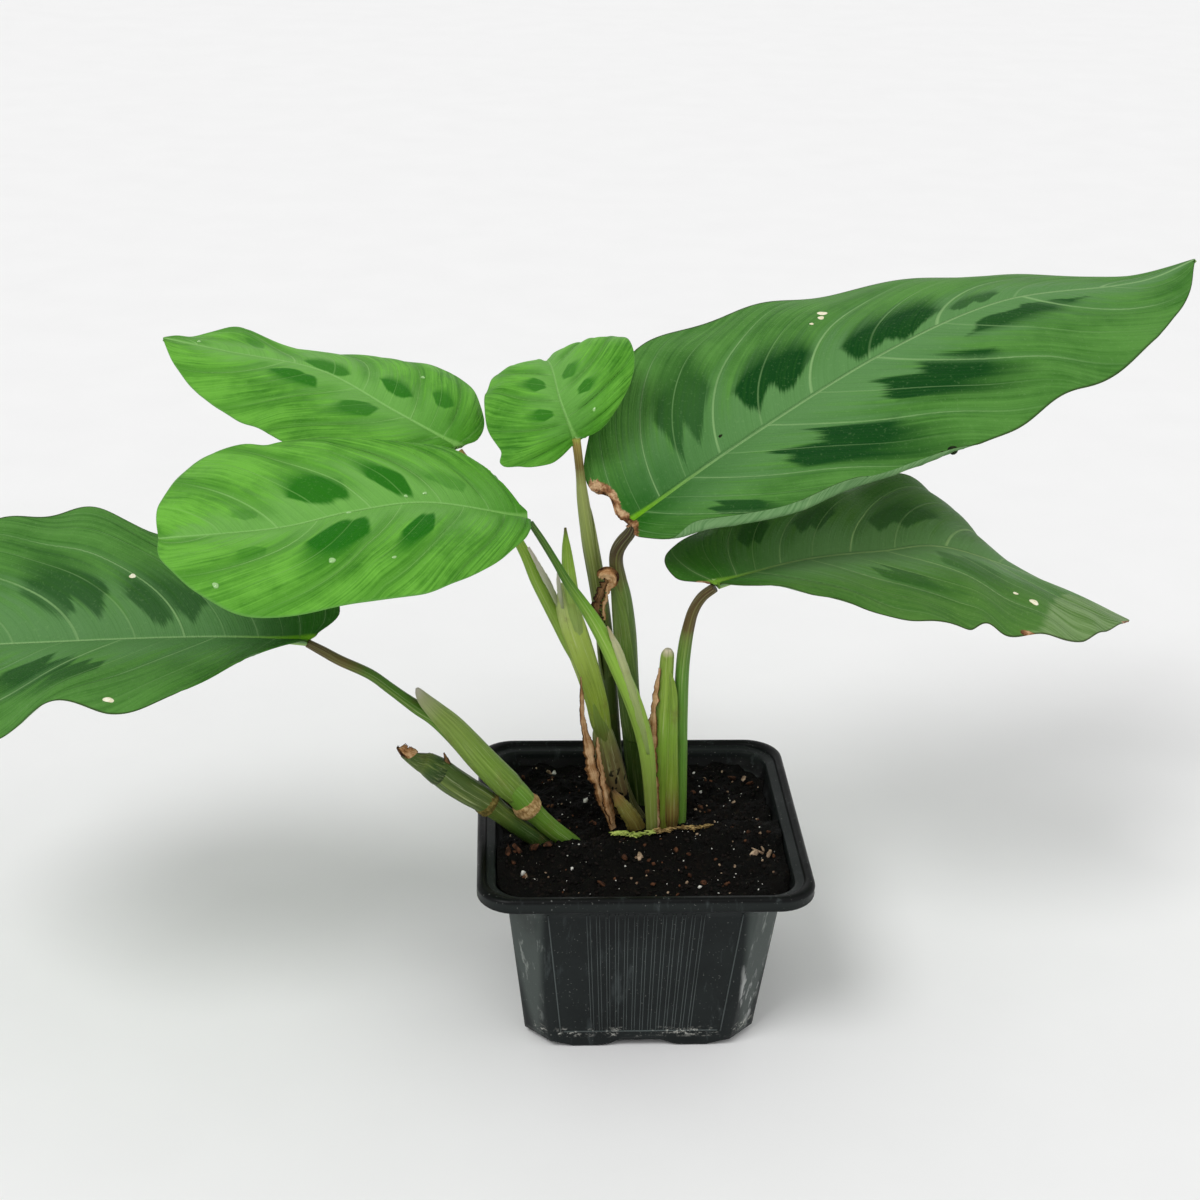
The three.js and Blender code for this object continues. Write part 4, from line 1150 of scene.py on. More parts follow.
def pot_material(name="black_plastic", bare=(5, 7, 7), dusty=(28, 33, 33)):
    """Black plastic, with a dusty body below the rim, scuffed corners and a line of lime at the foot. Called
    with lighter bare and dusty colours it is the ribs' painted highlight, and with darker ones it is the
    inside's painted shade.
    """
    # Places are in metres here, as the shader sees them.
    nodes = Nodes(name, roughness=0.34, specular=0.14)
    place = nodes.object_place()
    x, y, z = nodes.parts(place)
    fine = nodes.cloud(1400, 3, 0.6)
    cloud = nodes.cloud(70, 4, 0.6)
    scuff = nodes.noise(nodes.scaled(place, (1, 1, 0.25)), 320, 5, 0.7)

    below = nodes.ramp(z, 0.0375, 0.039, 1.0, 0.0)
    film = nodes.times(below, nodes.ramp(cloud, 0.3, 0.65, 0.55, 1.0))
    colour = nodes.mix(film, tint(*bare), tint(*dusty))
    band = nodes.times(nodes.ramp(z, 0.0395, 0.0415), nodes.ramp(z, 0.0422, 0.0428, 1.0, 0.0))
    colour = nodes.mix(nodes.times(band, 0.8), colour, tint(30, 35, 34))
    colour = nodes.mix(nodes.ramp(scuff, 0.56, 0.72, 0, 0.3), colour, tint(84, 92, 92))

    corner = nodes.math("MINIMUM", nodes.size(x), nodes.size(y))
    chamfer = nodes.times(nodes.ramp(corner, 0.0205, 0.0225), below)
    grey = nodes.times(chamfer, nodes.ramp(cloud, 0.3, 0.6, 0.5, 0.9))
    colour = nodes.mix(grey, colour, tint(72, 79, 76))
    pale = nodes.times(chamfer, nodes.ramp(scuff, 0.56, 0.66, 0, 0.6))
    colour = nodes.mix(pale, colour, tint(150, 155, 150))
    front_right = nodes.times(nodes.ramp(x, 0.0205, 0.0215), nodes.ramp(y, -0.0215, -0.0205, 1.0, 0.0))
    worn = nodes.times(nodes.ramp(z, 0.003, 0.007), nodes.ramp(z, 0.014, 0.028, 1.0, 0.0))
    worn = nodes.times(nodes.times(worn, front_right), nodes.ramp(scuff, 0.5, 0.58, 0, 0.7))
    colour = nodes.mix(worn, colour, tint(176, 178, 176))

    low = nodes.times(nodes.ramp(z, 0.0022, 0.0036), nodes.ramp(z, 0.0042, 0.0058, 1.0, 0.0))
    streaks = nodes.ramp(nodes.noise(nodes.scaled(place, (1, 1, 1.8)), 900, 4, 0.75), 0.52, 0.6)
    patches = nodes.ramp(nodes.cloud(210, 3, 0.6), 0.44, 0.6)
    lime = nodes.times(nodes.times(low, patches), streaks)
    colour = nodes.mix(nodes.times(lime, 0.8), colour, tint(196, 196, 188))
    specks = nodes.ramp(nodes.cloud(2300, 1), 0.72, 0.77, 0, 0.6)
    colour = nodes.mix(specks, colour, tint(120, 122, 118))
    nodes.bump(nodes.plus(nodes.times(fine, 0.4), scuff), 0.08, 0.5)
    return nodes.finish(colour, nodes.ramp(cloud, 0.3, 0.7, 0.32, 0.5))


def add_pot():
    plastic = pot_material()
    # The inside takes the pot's plastic in darker colours: painted shade inside the pot.
    inner = pot_material("inner_plastic_painted_shade", (3, 4, 4), (9, 10, 10))
    outside = pot_outside()
    points, faces = skin(outside + pot_inside())
    # The inner plastic, darkened as painted shade, starts below the rim's band.
    first_inner = (len(outside) + 1 + BAND_RINGS) * len(outside[0])
    slots = [1 if min(face) >= first_inner else 0 for face in faces]
    pot = add_mesh("nursery_pot", points, faces, [plastic, inner], slots)
    cut_drains(pot)
    keep(pot, "pot_plastic", "pot")
    # The ribs take the pot's plastic in lighter colours: a painted highlight along the mould lines.
    pot_ribs(pot_material("rib_plastic_painted_highlight", (28, 33, 33), (78, 85, 84)))


# ---- soil ---------------------------------------------------------------
SOIL_EDGE_Z = 40.2
SOIL_BACK_Z = 39
RIDGE_HEIGHT = 1.6
RIDGE_Y = -7
RIDGE_SKEW = 0.2
RIDGE_WIDTH = 6
SLOPE_WIDTH = 7
SOIL_RINGS = 150
SOIL_HALF = 29       # about half the width of the soil's top
SOIL_CORNER = 0.22   # of half the width
WALL_HEIGHTS = (FLOOR_Z + GAP, 20, 34)    # of the rings up the side of the soil
# Where stems stand in the soil: x, y, radius.
STEM_FEET = [
    (1.3, 13, 2.2), (8, 4, 3), (-4, 14.8, 1.8), (1, 7, 2.5), (2.9, -2, 1.7), (-14, -4, 2), (-21, -4.5, 2),
    (-1, 0.5, 1.3), (-4.5, 1.2, 1.2),
]
# Loose crumbs: how many are tried, material, smallest and largest half size.
LOOSE_CRUMBS = [(1300, 0, 0.25, 0.6), (90, 1, 0.25, 0.8), (80, 2, 0.1, 0.26), (70, 3, 0.2, 0.5)]
# Larger bits that stand out: x, y, material, half sizes.
PLACED_CRUMBS = [
    (-25.4, -20.3, 2, (1.0, 0.7, 0.4)), (-24.8, -21.1, 3, (0.9, 0.6, 0.3)), (-18.7, 27, 3, (1.4, 0.9, 0.4)),
    (-17.6, 26.2, 2, (0.8, 0.6, 0.4)), (24.8, -11.8, 3, (1.9, 0.7, 0.3)), (26.2, -10.9, 3, (0.8, 1.6, 0.3)),
    (24.0, -13.3, 3, (0.9, 1.2, 0.3)), (27.2, -12.6, 3, (1.6, 0.6, 0.3)), (25.6, 22, 3, (1.3, 0.9, 0.4)),
    (27.0, 20.5, 1, (1.5, 0.9, 0.5)), (23.4, 23, 1, (1.5, 0.9, 0.5)), (-0.5, -14.7, 3, (1.3, 0.8, 0.4)),
    (-8.8, -23.3, 1, (1.5, 1.1, 0.5)), (-11.0, 11.8, 2, (1.0, 0.5, 0.4)), (-15.1, -19.3, 2, (0.5, 0.4, 0.3)),
    (11.3, -25.6, 2, (0.5, 0.4, 0.3)), (14.6, 26, 2, (0.5, 0.4, 0.3)), (15.4, 16.9, 2, (0.6, 0.4, 0.3)),
    (-28.4, -13.2, 1, (2.2, 0.8, 0.5)), (-26.2, -12.4, 1, (2.4, 0.9, 0.5)),
    (-23.2, -12.6, 1, (2.4, 0.8, 0.5)), (-20, -12.1, 1, (2.2, 0.8, 0.5)), (-22.5, 4, 2, (0.8, 0.5, 0.4)),
]


def lattice_noise(x, y, cell, seed):
    """Smooth value noise from -1 to 1 on a square lattice."""
    table = np.random.default_rng(seed).uniform(-1, 1, (256, 256))
    u, v = x / cell + 97.3, y / cell + 61.7
    i, j = np.floor(u).astype(int), np.floor(v).astype(int)
    fu, fv = u - i, v - j
    fu, fv = fu * fu * (3 - 2 * fu), fv * fv * (3 - 2 * fv)
    a = table[i % 256, j % 256]
    b = table[(i + 1) % 256, j % 256]
    c = table[i % 256, (j + 1) % 256]
    d = table[(i + 1) % 256, (j + 1) % 256]
    return (a * (1 - fu) + b * fu) * (1 - fv) + (c * (1 - fu) + d * fu) * fv


def soil_height(x, y):
    """The soil's broad shape: a ridge across the front, and lower ground behind it."""
    ridge_y = RIDGE_Y + RIDGE_SKEW * x
    behind = smoothstep(ridge_y, ridge_y + SLOPE_WIDTH, y)
    level = SOIL_EDGE_Z + (SOIL_BACK_Z - SOIL_EDGE_Z) * behind
    ridge = RIDGE_HEIGHT * np.exp(-(((y - ridge_y + 2) / RIDGE_WIDTH) ** 2)) * (1 - behind)
    lumps = 0.35 * np.sin(0.55 * x + 1.3) * np.cos(0.47 * y) + 0.25 * np.sin(1.1 * x - 0.9 * y)
    return level + ridge + lumps


def soil_relief(x, y):
    """The crumbs of the peat over its broad shape."""
    broad = 0.45 * lattice_noise(x, y, 4.2, 1) + 0.4 * lattice_noise(x, y, 2.1, 2)
    crumbs = 0.42 * np.abs(lattice_noise(x, y, 1.15, 3)) + 0.3 * np.abs(lattice_noise(x, y, 0.62, 4))
    return broad + crumbs - 0.2


def cavity_half(z):
    """Half the width of the pot's inside at a height."""
    low = SHOULDER_HALF - WALL
    return np.interp(z, [FLOOR_Z, SHOULDER_Z, LIP_Z], [BASE_HALF - WALL, low, MOUTH_HALF - GAP]) - 0.1


def soil_surface():
    """Rings up the pot's inside and then over the soil to its middle."""
    unit_ring = square_ring(1, SOIL_CORNER, 0.6, 0, corner_steps=16, side_steps=84)[:, :2]
    x, y = unit_ring[:, 0] * SOIL_HALF, unit_ring[:, 1] * SOIL_HALF
    for _ in range(4):
        half = cavity_half(soil_height(x, y))
        x, y = unit_ring[:, 0] * half, unit_ring[:, 1] * half
    rings = []
    for z in WALL_HEIGHTS:
        rings.append(np.column_stack([unit_ring * cavity_half(z), np.full(len(unit_ring), float(z))]))
    for share in np.linspace(1, 0.004, SOIL_RINGS):
        px, py = x * share, y * share
        rings.append(np.stack([px, py, soil_height(px, py) + soil_relief(px, py)], 1))
    return rings


def soil_material():
    nodes = Nodes("peat", roughness=0.85, specular=0.08)
    broad = nodes.cloud(160, 5, 0.7)
    grain = nodes.cloud(1300, 4, 0.7)
    bits = nodes.cloud(620, 3, 0.6)
    colour = nodes.mix(nodes.ramp(broad, 0.35, 0.65), tint(4, 4, 3), tint(14, 12, 10))
    colour = nodes.mix(nodes.ramp(bits, 0.58, 0.7, 0, 0.5), colour, tint(36, 28, 21))
    colour = nodes.mix(nodes.ramp(grain, 0.62, 0.75, 0, 0.4), colour, tint(70, 58, 48))
    colour = nodes.mix(nodes.ramp(nodes.cloud(1900, 1), 0.76, 0.8, 0, 0.8), colour, tint(190, 184, 170))
    nodes.bump(nodes.plus(grain, bits), 0.5, 0.9)
    return nodes.finish(colour, nodes.ramp(broad, 0.3, 0.7, 0.55, 0.95))


def speckled(name, dark, fair, scale=500):
    """A dull material that is speckled between two screen colours."""
    nodes = Nodes(name, roughness=0.8, specular=0.12)
    speckle = nodes.cloud(scale, 4, 0.65)
    nodes.bump(speckle, 0.2, 0.7)
    return nodes.finish(nodes.mix(nodes.ramp(speckle, 0.35, 0.65), tint(*dark), tint(*fair)))


# A double pyramid, from which the crumbs are made.
CHIP = np.array([[1, 0, 0], [-1, 0, 0], [0, 1, 0], [0, -1, 0], [0, 0, 1], [0, 0, -1]], float)
CHIP_FACES = [[0, 2, 4], [2, 1, 4], [1, 3, 4], [3, 0, 4], [2, 0, 5], [1, 2, 5], [3, 1, 5], [0, 3, 5]]


def chip_shape(size, rng):
    """One rough crumb: a stretched, jittered double pyramid with each edge split."""
    points = list(CHIP)
    faces = []
    middle = {}
    for a, b, c in CHIP_FACES:
        marks = []
        for pair in ((a, b), (b, c), (c, a)):
            key = tuple(sorted(pair))
            if key not in middle:
                middle[key] = len(points)
                point = points[key[0]] + points[key[1]]
                points.append(point / np.linalg.norm(point))
            marks.append(middle[key])
        ab, bc, ca = marks
        faces += [[a, ab, ca], [ab, b, bc], [ca, bc, c], [ab, bc, ca]]
    points = np.array(points) * (1 + rng.uniform(-0.3, 0.3, (len(points), 1)))
    turn = np.linalg.qr(rng.normal(size=(3, 3)))[0]
    if np.linalg.det(turn) < 0:
        turn[:, 0] *= -1
    return (points * np.asarray(size)) @ turn.T, faces


def free_of_stems(x, y):
    return all(math.hypot(x - a, y - b) > r + 1 for a, b, r in STEM_FEET)


def ground(x, y):
    """The height of the rough soil at one place."""
    return float(soil_height(x, y) + soil_relief(np.array([x]), np.array([y]))[0])


def add_crumbs(materials):
    """Loose crumbs of peat, bark and perlite on the soil."""
    rng = np.random.default_rng(11)
    parts = Parts()
    for count, slot, small, large in LOOSE_CRUMBS:
        for _ in range(count):
            x, y = rng.uniform(-SOIL_HALF, SOIL_HALF, 2)
            inside = abs(x) + abs(y) <= 50 and max(abs(x), abs(y)) <= cavity_half(soil_height(x, y)) - 1
            if not inside or not free_of_stems(x, y):
                continue
            size = rng.uniform(small, large) * rng.uniform(0.5, 1.0, 3)
            points, faces = chip_shape(size, rng)
            parts.add(points + (x, y, ground(x, y) + 0.35 * size.min()), faces, slot)
    for x, y, slot, size in PLACED_CRUMBS:
        points, faces = chip_shape(np.array(size), rng)
        parts.add(points + (x, y, ground(x, y) + 0.2), faces, slot)
    parts.finish("soil_crumbs", materials, "peat")


def add_soil():
    soil = add_mesh("peat_soil", *skin(soil_surface()), [soil_material()])
    keep(soil, "peat", "soil")
    add_crumbs([speckled("peat_crumb", (5, 4, 4), (26, 20, 17)),
                speckled("bark_chip", (36, 22, 14), (96, 62, 42), 700),
                speckled("perlite", (186, 184, 176), (236, 234, 226), 900),
                speckled("straw_chip", (110, 88, 70), (186, 162, 136), 800)])


# ---- stems --------------------------------------------------------------
def stem_material(name, stops, spots=0.0, contrast=1.0):
    """Fibrous plant skin whose colour changes from foot to top, with optional dark spots."""
    nodes = Nodes(name, roughness=0.45, specular=0.22)
    run = nodes.parts(nodes.grain())[0]
    fibre = nodes.fibres(3.5, 60, 1.0, 4, 0.65)
    broad = nodes.fibres(1.8, 13)
    cloud = nodes.cloud(190, 4, 0.6)
    colour = nodes.colours(nodes.plus(run, nodes.centred(cloud, 0.06)), stops)
    for noise, low, high, strength, paint in (
            (broad, 0.5, 0.7, 0.2, (190, 210, 112)), (broad, 0.46, 0.3, 0.26, (52, 84, 20)),
            (fibre, 0.55, 0.72, 0.5, (216, 222, 176)), (fibre, 0.44, 0.3, 0.5, (40, 52, 16)),
            (cloud, 0.55, 0.75, 0.3, (112, 88, 50))):
        colour = nodes.mix(nodes.ramp(noise, low, high, 0, strength * contrast), colour, tint(*paint))
    if spots:
        dots = nodes.noise(nodes.scaled(nodes.object_place(), (1, 1, 0.8)), 760, 1, 0.4)
        mask = nodes.times(nodes.ramp(dots, 0.57, 0.62), nodes.ramp(run, 0.6, 0.75, 1.0, 0.1))
        colour = nodes.mix(nodes.times(mask, spots), colour, tint(10, 8, 6))
    nodes.bump(nodes.plus(nodes.times(broad, 0.8), fibre), 0.25, 0.8)
    return nodes.finish(colour)


def husk_material(name="dry_husk", dark=(46, 26, 12), middle=(164, 118, 74), pale=(224, 188, 144)):
    """Papery dried skin: pale along its middle and dark brown along its edges."""
    nodes = Nodes(name, roughness=0.8, specular=0.1)
    around = nodes.parts(nodes.grain())[1]
    fibre = nodes.fibres(3.4, 9, 1.0, 5, 0.7)
    edge = nodes.size(nodes.minus(around, 0.5))
    tone = nodes.plus(nodes.times(fibre, 0.6), nodes.times(nodes.cloud(300, 4, 0.65), 0.5))
    tone = nodes.minus(tone, nodes.ramp(edge, 0.3, 0.5, 0, 0.22))
    nodes.bump(fibre, 0.35, 0.9)
    return nodes.finish(nodes.colours(tone, [(0.32, dark), (0.48, middle), (0.64, pale)]))


def cork_material(name, dark, middle, pale):
    nodes = Nodes(name, roughness=0.85, specular=0.1)
    fibre = nodes.fibres(2.0, 30, 1.0, 4, 0.7)
    tone = nodes.plus(nodes.times(fibre, 0.5), nodes.times(nodes.cloud(900, 5, 0.7), 0.5))
    nodes.bump(tone, 0.4, 0.9)
    return nodes.finish(nodes.colours(tone, [(0.34, dark), (0.48, middle), (0.6, pale)]))


def ring_of_cork(parts, place, way, radius, height, slot, seed):
    """A rough corky ring round a node of the stem."""
    way = np.asarray(way, float)
    way /= np.linalg.norm(way)
    foot = np.asarray(place, float) - way * height / 2
    stations = [[*(foot + way * height * t), radius * girth] for t, girth in
                ((0, 0.9), (0.15, 1.0), (0.5, 1.04), (0.85, 1.0), (1, 0.93))]
    add_tube(parts, stations, 16, slot, sides=44, ridges=19, ridge_height=0.06, seed=seed)


def add_stem_right():
    tone = stem_material("stem_right_skin", [(0.0, (40, 58, 18)), (0.4, (56, 80, 26)),
        (0.62, (82, 112, 42)), (0.8, (98, 126, 52)), (0.86, (96, 94, 48)), (0.9, (70, 54, 34)),
        (1.0, (58, 46, 32))])
    sleeve = stem_material("sleeve_right", [(0.0, (64, 92, 30)), (0.6, (94, 124, 46)), (1.0, (112, 138, 62))])
    parts = Parts()
    add_tube(parts, [[1.6, 13, 27, 2.2], [1.4, 13, 36.8, 2.2], [-1.3, 11.2, 60.5, 2.3],
        [-2.4, 10.5, 72, 2.4], [-3.2, 9.8, 82, 2.35], [-4.1, 9, 90.4, 2.0], [-5, 8.4, 95.6, 1.6],
        [-5.7, 7.6, 99.6, 1.45], [-5.6, 6.8, 102.6, 1.45], [-4.6, 5.8, 105.2, 1.4],
        [-3.2, 5.3, 107.3, 1.25], [-2.4, 5.4, 109.1, 1.0]], steps=120)
    add_sheath(parts, [[-0.6, 11.4, 56, 2.3], [-2.2, 10.4, 72, 2.45], [-3.4, 9.6, 84, 2.3],
        [-4.4, 8.8, 92, 1.9], [-5, 8.2, 96.5, 1.6]], (-0.9, -0.2, 0), (150, 90), slot=1, tip=0.25, seed=3,
        gap=0.05)
    parts.finish("stem_right_skin", [tone, sleeve], "green_stem", "stem_right")


def add_upper_husk(husk, dark_husk):
    """The dried sheath tip between the two middle stems: a tan knob over a dark torn edge."""
    parts = Parts()
    add_ribbon(parts, [[-6.9, 5.6, 97.6, 0.7], [-7.9, 5.6, 95.5, 0.9], [-8.9, 5.7, 93, 0.75],
        [-9.5, 5.8, 90.4, 1.0], [-9.3, 5.9, 88, 0.9], [-8.4, 6, 85.6, 0.8], [-7.4, 6.2, 83, 0.35]],
        (0.3, -1, 0), slot=1, steps=80, curl=0.5, ragged=0.4, seed=4, thickness=0.4)
    add_ribbon(parts, [[-7.1, 5.2, 96.2, 0.45], [-7.6, 5.2, 93.5, 0.5], [-8.2, 5.3, 90.6, 0.4],
        [-8.0, 5.4, 87.4, 0.3]], (0.2, -1, 0), steps=60, curl=0.4, ragged=0.35, seed=6)
    add_tube(parts, [[-9.2, 5.6, 97.2, 0.6], [-8.6, 5.4, 98.2, 1.1], [-7.5, 5.4, 98.3, 1.25],
        [-6.5, 5.5, 97.5, 1.15], [-6.4, 5.7, 96, 0.9], [-6.9, 5.7, 94.9, 0.5]], steps=40, ridges=5,
        ridge_height=0.2, seed=3)
    parts.finish("dry_sheath_upper_skin", [husk, dark_husk], "dry_husk", "dry_sheath_upper")


def add_stem_lower_right(husk):
    petiole = stem_material("petiole_lower_right", [(0.0, (104, 138, 52)), (0.4, (96, 144, 50)),
        (0.7, (88, 136, 44)), (0.8, (100, 124, 50)), (0.84, (92, 74, 38)), (1.0, (78, 60, 36))])
    sheath = stem_material("sheath_lower_right", [(0.0, (110, 78, 36)), (0.14, (126, 108, 50)),
        (0.28, (128, 152, 50)), (0.6, (130, 170, 56)), (0.98, (136, 164, 64)), (0.996, (190, 184, 150)),
        (1.0, (216, 204, 178))], contrast=1.2)
    parts = Parts()
    add_tube(parts, [[9.2, 4.3, 28, 1.65], [9.3, 4.2, 40, 1.65], [9.1, 3.9, 54.4, 1.6],
        [8.8, 3.4, 66, 1.55], [8.7, 2.9, 76, 1.45], [9, 2.5, 82.5, 1.4], [9.6, 2, 87.5, 1.25],
        [10.4, 1.4, 91.4, 1.15], [12, 0.7, 94.8, 1.1], [14.4, 0.1, 97.2, 1.05]], steps=120)
    add_tube(parts, [[5.2, 3.2, 28, 2.5], [5.1, 3.1, 39.5, 2.55], [5, 3, 52, 2.35], [5, 2.8, 64.3, 1.9],
        [5.2, 2.6, 74, 1.6], [5.3, 2.4, 79, 1.5], [5.4, 2.3, 81, 1.35], [5.5, 2.3, 82, 0.7]], slot=1,
        steps=110, ridges=11, ridge_height=0.05, seed=2)
    add_sheath(parts, [[6.8, 3.6, 38, 2.7], [6.8, 3.4, 57, 2.3], [6.9, 3, 69.5, 1.95], [6.9, 2.6, 78, 1.6]],
        (-0.9, -0.5, 0), (120, 80), slot=1, tip=0.2, seed=8)
    parts.finish("stem_lower_right_skin", [petiole, sheath], "green_stem", "stem_lower_right")
    dry = Parts()
    add_ribbon(dry, [[4.2, 0.3, 36, 0.6], [3.9, 0.2, 41, 0.95], [3.5, 0.2, 46.5, 0.9],
        [3.2, 0.3, 52.7, 0.85], [2.8, 0.4, 58.8, 0.85], [2.6, 0.6, 64.9, 0.85], [2.9, 0.8, 69.7, 0.75],
        [3.1, 1, 73.3, 0.6], [3.7, 1.2, 78, 0.3]], (-0.3, -1, 0), steps=120, curl=0.5, ragged=0.2, seed=9)
    dry.finish("dry_sheath_right_skin", [husk], "dry_husk", "dry_sheath_right")


def add_stem_centre():
    tone = stem_material("stem_centre_skin", [(0.0, (44, 56, 20)), (0.45, (72, 92, 34)),
        (0.66, (112, 122, 58)), (0.8, (140, 154, 82)), (0.9, (150, 158, 92)), (0.95, (112, 92, 44)),
        (0.985, (150, 128, 60)), (1.0, (150, 150, 60))])
    sleeve = stem_material("sleeve_centre", [(0.0, (86, 104, 44)), (0.5, (132, 144, 74)),
        (1.0, (150, 162, 92))])
    parts = Parts()
    add_tube(parts, [[-3.4, 15.2, 27, 1.9], [-4, 14.8, 40, 1.9], [-6.8, 13, 76.7, 1.6],
        [-8.6, 12, 87.4, 1.5], [-10, 11, 96.2, 1.5], [-11.6, 10.4, 104.8, 1.47], [-12.8, 10, 112.8, 1.25],
        [-13.4, 9.7, 118, 0.95], [-14.0, 9.6, 123, 0.9], [-14.5, 10, 126.4, 0.95]], steps=120)
    add_sheath(parts, [[-6.4, 13.2, 70, 1.7], [-8.4, 12, 87, 1.6], [-11.4, 10.6, 104, 1.55],
        [-12.7, 10.1, 112, 1.3]], (0.4, 1, 0), (160, 100), slot=1, tip=0.3, seed=4, gap=0.05)
    parts.finish("stem_centre_skin", [tone, sleeve], "olive_stem", "stem_centre")


def add_stem_upper_left(membrane):
    culm = stem_material("culm_upper_left", [(0.0, (80, 66, 40)), (0.3, (84, 92, 38)),
        (0.42, (128, 158, 64)), (0.55, (142, 174, 72)), (0.66, (138, 174, 64)), (0.76, (142, 182, 60)),
        (0.86, (120, 152, 50)), (1.0, (140, 118, 54))])
    body = stem_material("culm_body", [(0.0, (112, 132, 42)), (0.3, (144, 170, 58)), (0.7, (174, 198, 90)),
        (1.0, (208, 218, 150))], contrast=1.3)
    foot = stem_material("culm_foot", [(0.0, (70, 48, 30)), (0.4, (104, 84, 58)), (0.8, (112, 104, 62)),
        (1.0, (122, 136, 70))], spots=1.0)
    parts = Parts()
    add_tube(parts, [[1.4, 7.4, 27, 1.8], [0.9, 7.1, 36.4, 1.9], [-1.9, 7, 42, 1.9], [-5.4, 6.6, 52, 1.9],
        [-8.1, 5.8, 61.5, 1.95], [-10.1, 5.4, 70, 1.75], [-12.8, 5.2, 76.8, 1.55], [-15.6, 5.1, 82, 1.4],
        [-18, 5, 87.1, 1.35], [-20.4, 5.2, 92.2, 1.35], [-22.6, 5.6, 96.8, 1.3], [-24.6, 6.6, 101.5, 1.15],
        [-26.8, 7.8, 105.4, 1.0], [-29.8, 9.4, 110, 0.95], [-35.5, 12, 118.3, 0.9],
        [-38.6, 13.7, 122.3, 0.8]], steps=160)
    add_tube(parts, [[-6.9, 5.9, 58, 1.5], [-8.2, 5.5, 62.6, 2.1], [-9.2, 5.2, 67.9, 2.35],
        [-10.9, 5, 74.1, 2.6], [-12.9, 4.9, 80.1, 2.8], [-14.8, 4.8, 85.9, 2.85], [-15.9, 4.6, 90, 2.5],
        [-16.6, 4.4, 94, 1.5], [-17, 4.3, 96.4, 0.5]], slot=1, steps=90, sides=36, ridges=7,
        ridge_height=0.08, flat=0.7)
    add_tube(parts, [[-0.2, 6.9, 33, 1.8], [-2.4, 6.8, 38, 2.3], [-3.4, 6.7, 41.5, 2.6],
        [-4.6, 6.4, 46.6, 2.9], [-5.9, 6.1, 51.8, 2.9], [-7.1, 5.9, 57, 2.6], [-7.8, 5.7, 60.6, 2.2],
        [-8.1, 5.6, 61.8, 1.6]], slot=2, steps=90, sides=32, ridges=5, ridge_height=0.06, flat=0.75)
    add_ribbon(parts, [[-17.6, 4.2, 90.5, 0.4], [-18.8, 4, 93.8, 0.6], [-20.2, 4, 96.8, 0.7],
        [-22, 4.3, 100.2, 0.6], [-24.2, 5, 104.2, 0.3]], (0.4, -1, 0.2), slot=3, steps=50, curl=0.2,
        ragged=0.06, seed=6)
    parts.finish("stem_upper_left_skin", [culm, body, foot, membrane], "pale_stem", "stem_upper_left")


def add_rolled_leaf(membrane):
    rolled = stem_material("rolled_leaf_skin", [(0.0, (160, 180, 108)), (0.4, (158, 186, 92)),
        (0.7, (136, 174, 58)), (0.93, (118, 152, 44)), (1.0, (84, 70, 34))])
    spear = Parts()
    add_tube(spear, [[-13, 5.2, 80, 0.6], [-13.6, 4, 85, 1.0], [-14.5, 2.6, 91, 1.35], [-15.3, 2, 96, 1.45],
        [-16, 2, 101.3, 1.25], [-16.4, 2, 105.6, 0.85], [-16.7, 2, 109.8, 0.2]], steps=70, ridges=7,
        ridge_height=0.07)
    add_ribbon(spear, [[-17, 2.2, 91.5, 0.3], [-17.6, 1.9, 94.6, 0.5], [-18, 1.8, 97.6, 0.45],
        [-18.1, 1.9, 101.2, 0.2]], (-0.2, -1, 0.1), slot=1, steps=40, curl=0.2, ragged=0.08, seed=7)
    spear.finish("rolled_leaf_skin", [rolled, membrane], "pale_stem", "rolled_leaf")


def add_stem_front_left():
    tone = stem_material("stem_front_left_skin", [(0.0, (104, 92, 48)), (0.14, (118, 126, 58)),
        (0.36, (142, 174, 70)), (0.6, (140, 182, 64)), (0.74, (112, 160, 48)), (0.84, (72, 118, 26)),
        (1.0, (48, 92, 14))])
    ligule = stem_material("ligule_front_left", [(0.0, (136, 162, 84)), (0.6, (176, 190, 124)),
        (0.9, (206, 204, 160)), (1.0, (196, 172, 132))], contrast=1.1)
    parts = Parts()
    add_tube(parts, [[3.1, -1.9, 29, 1.2], [2.9, -2, 40.2, 1.2], [2.6, -2, 46, 1.3], [2.1, -2, 52.5, 1.45],
        [1.3, -2.1, 59.5, 1.7], [0, -2.2, 65.6, 1.85], [-2.3, -2.3, 72.6, 1.9], [-4.7, -2.4, 78.4, 1.85],
        [-7.6, -2.5, 84.9, 1.7], [-10.4, -2.7, 90.4, 1.5], [-13.4, -3, 95.4, 1.2],
        [-16.4, -3.3, 100.1, 0.95], [-18.6, -3.6, 104.2, 0.8], [-21.4, -4, 109.2, 0.75],
        [-24, -4.2, 113.4, 0.65]], steps=160, flat=0.85)
    add_ribbon(parts, [[1.6, -3.6, 60, 0.4], [0.4, -3.8, 66, 0.85], [-1.6, -3.9, 73, 1.0],
        [-3.6, -3.9, 79.4, 1.0], [-5.4, -3.9, 84.6, 0.85], [-6.9, -3.9, 88, 0.5], [-7.9, -3.8, 90.2, 0.15]],
        (0.4, -1, 0.25), slot=1, steps=90, curl=0.55, ragged=0.05, seed=12)
    parts.finish("stem_front_left_skin", [tone, ligule], "pale_stem", "stem_front_left")


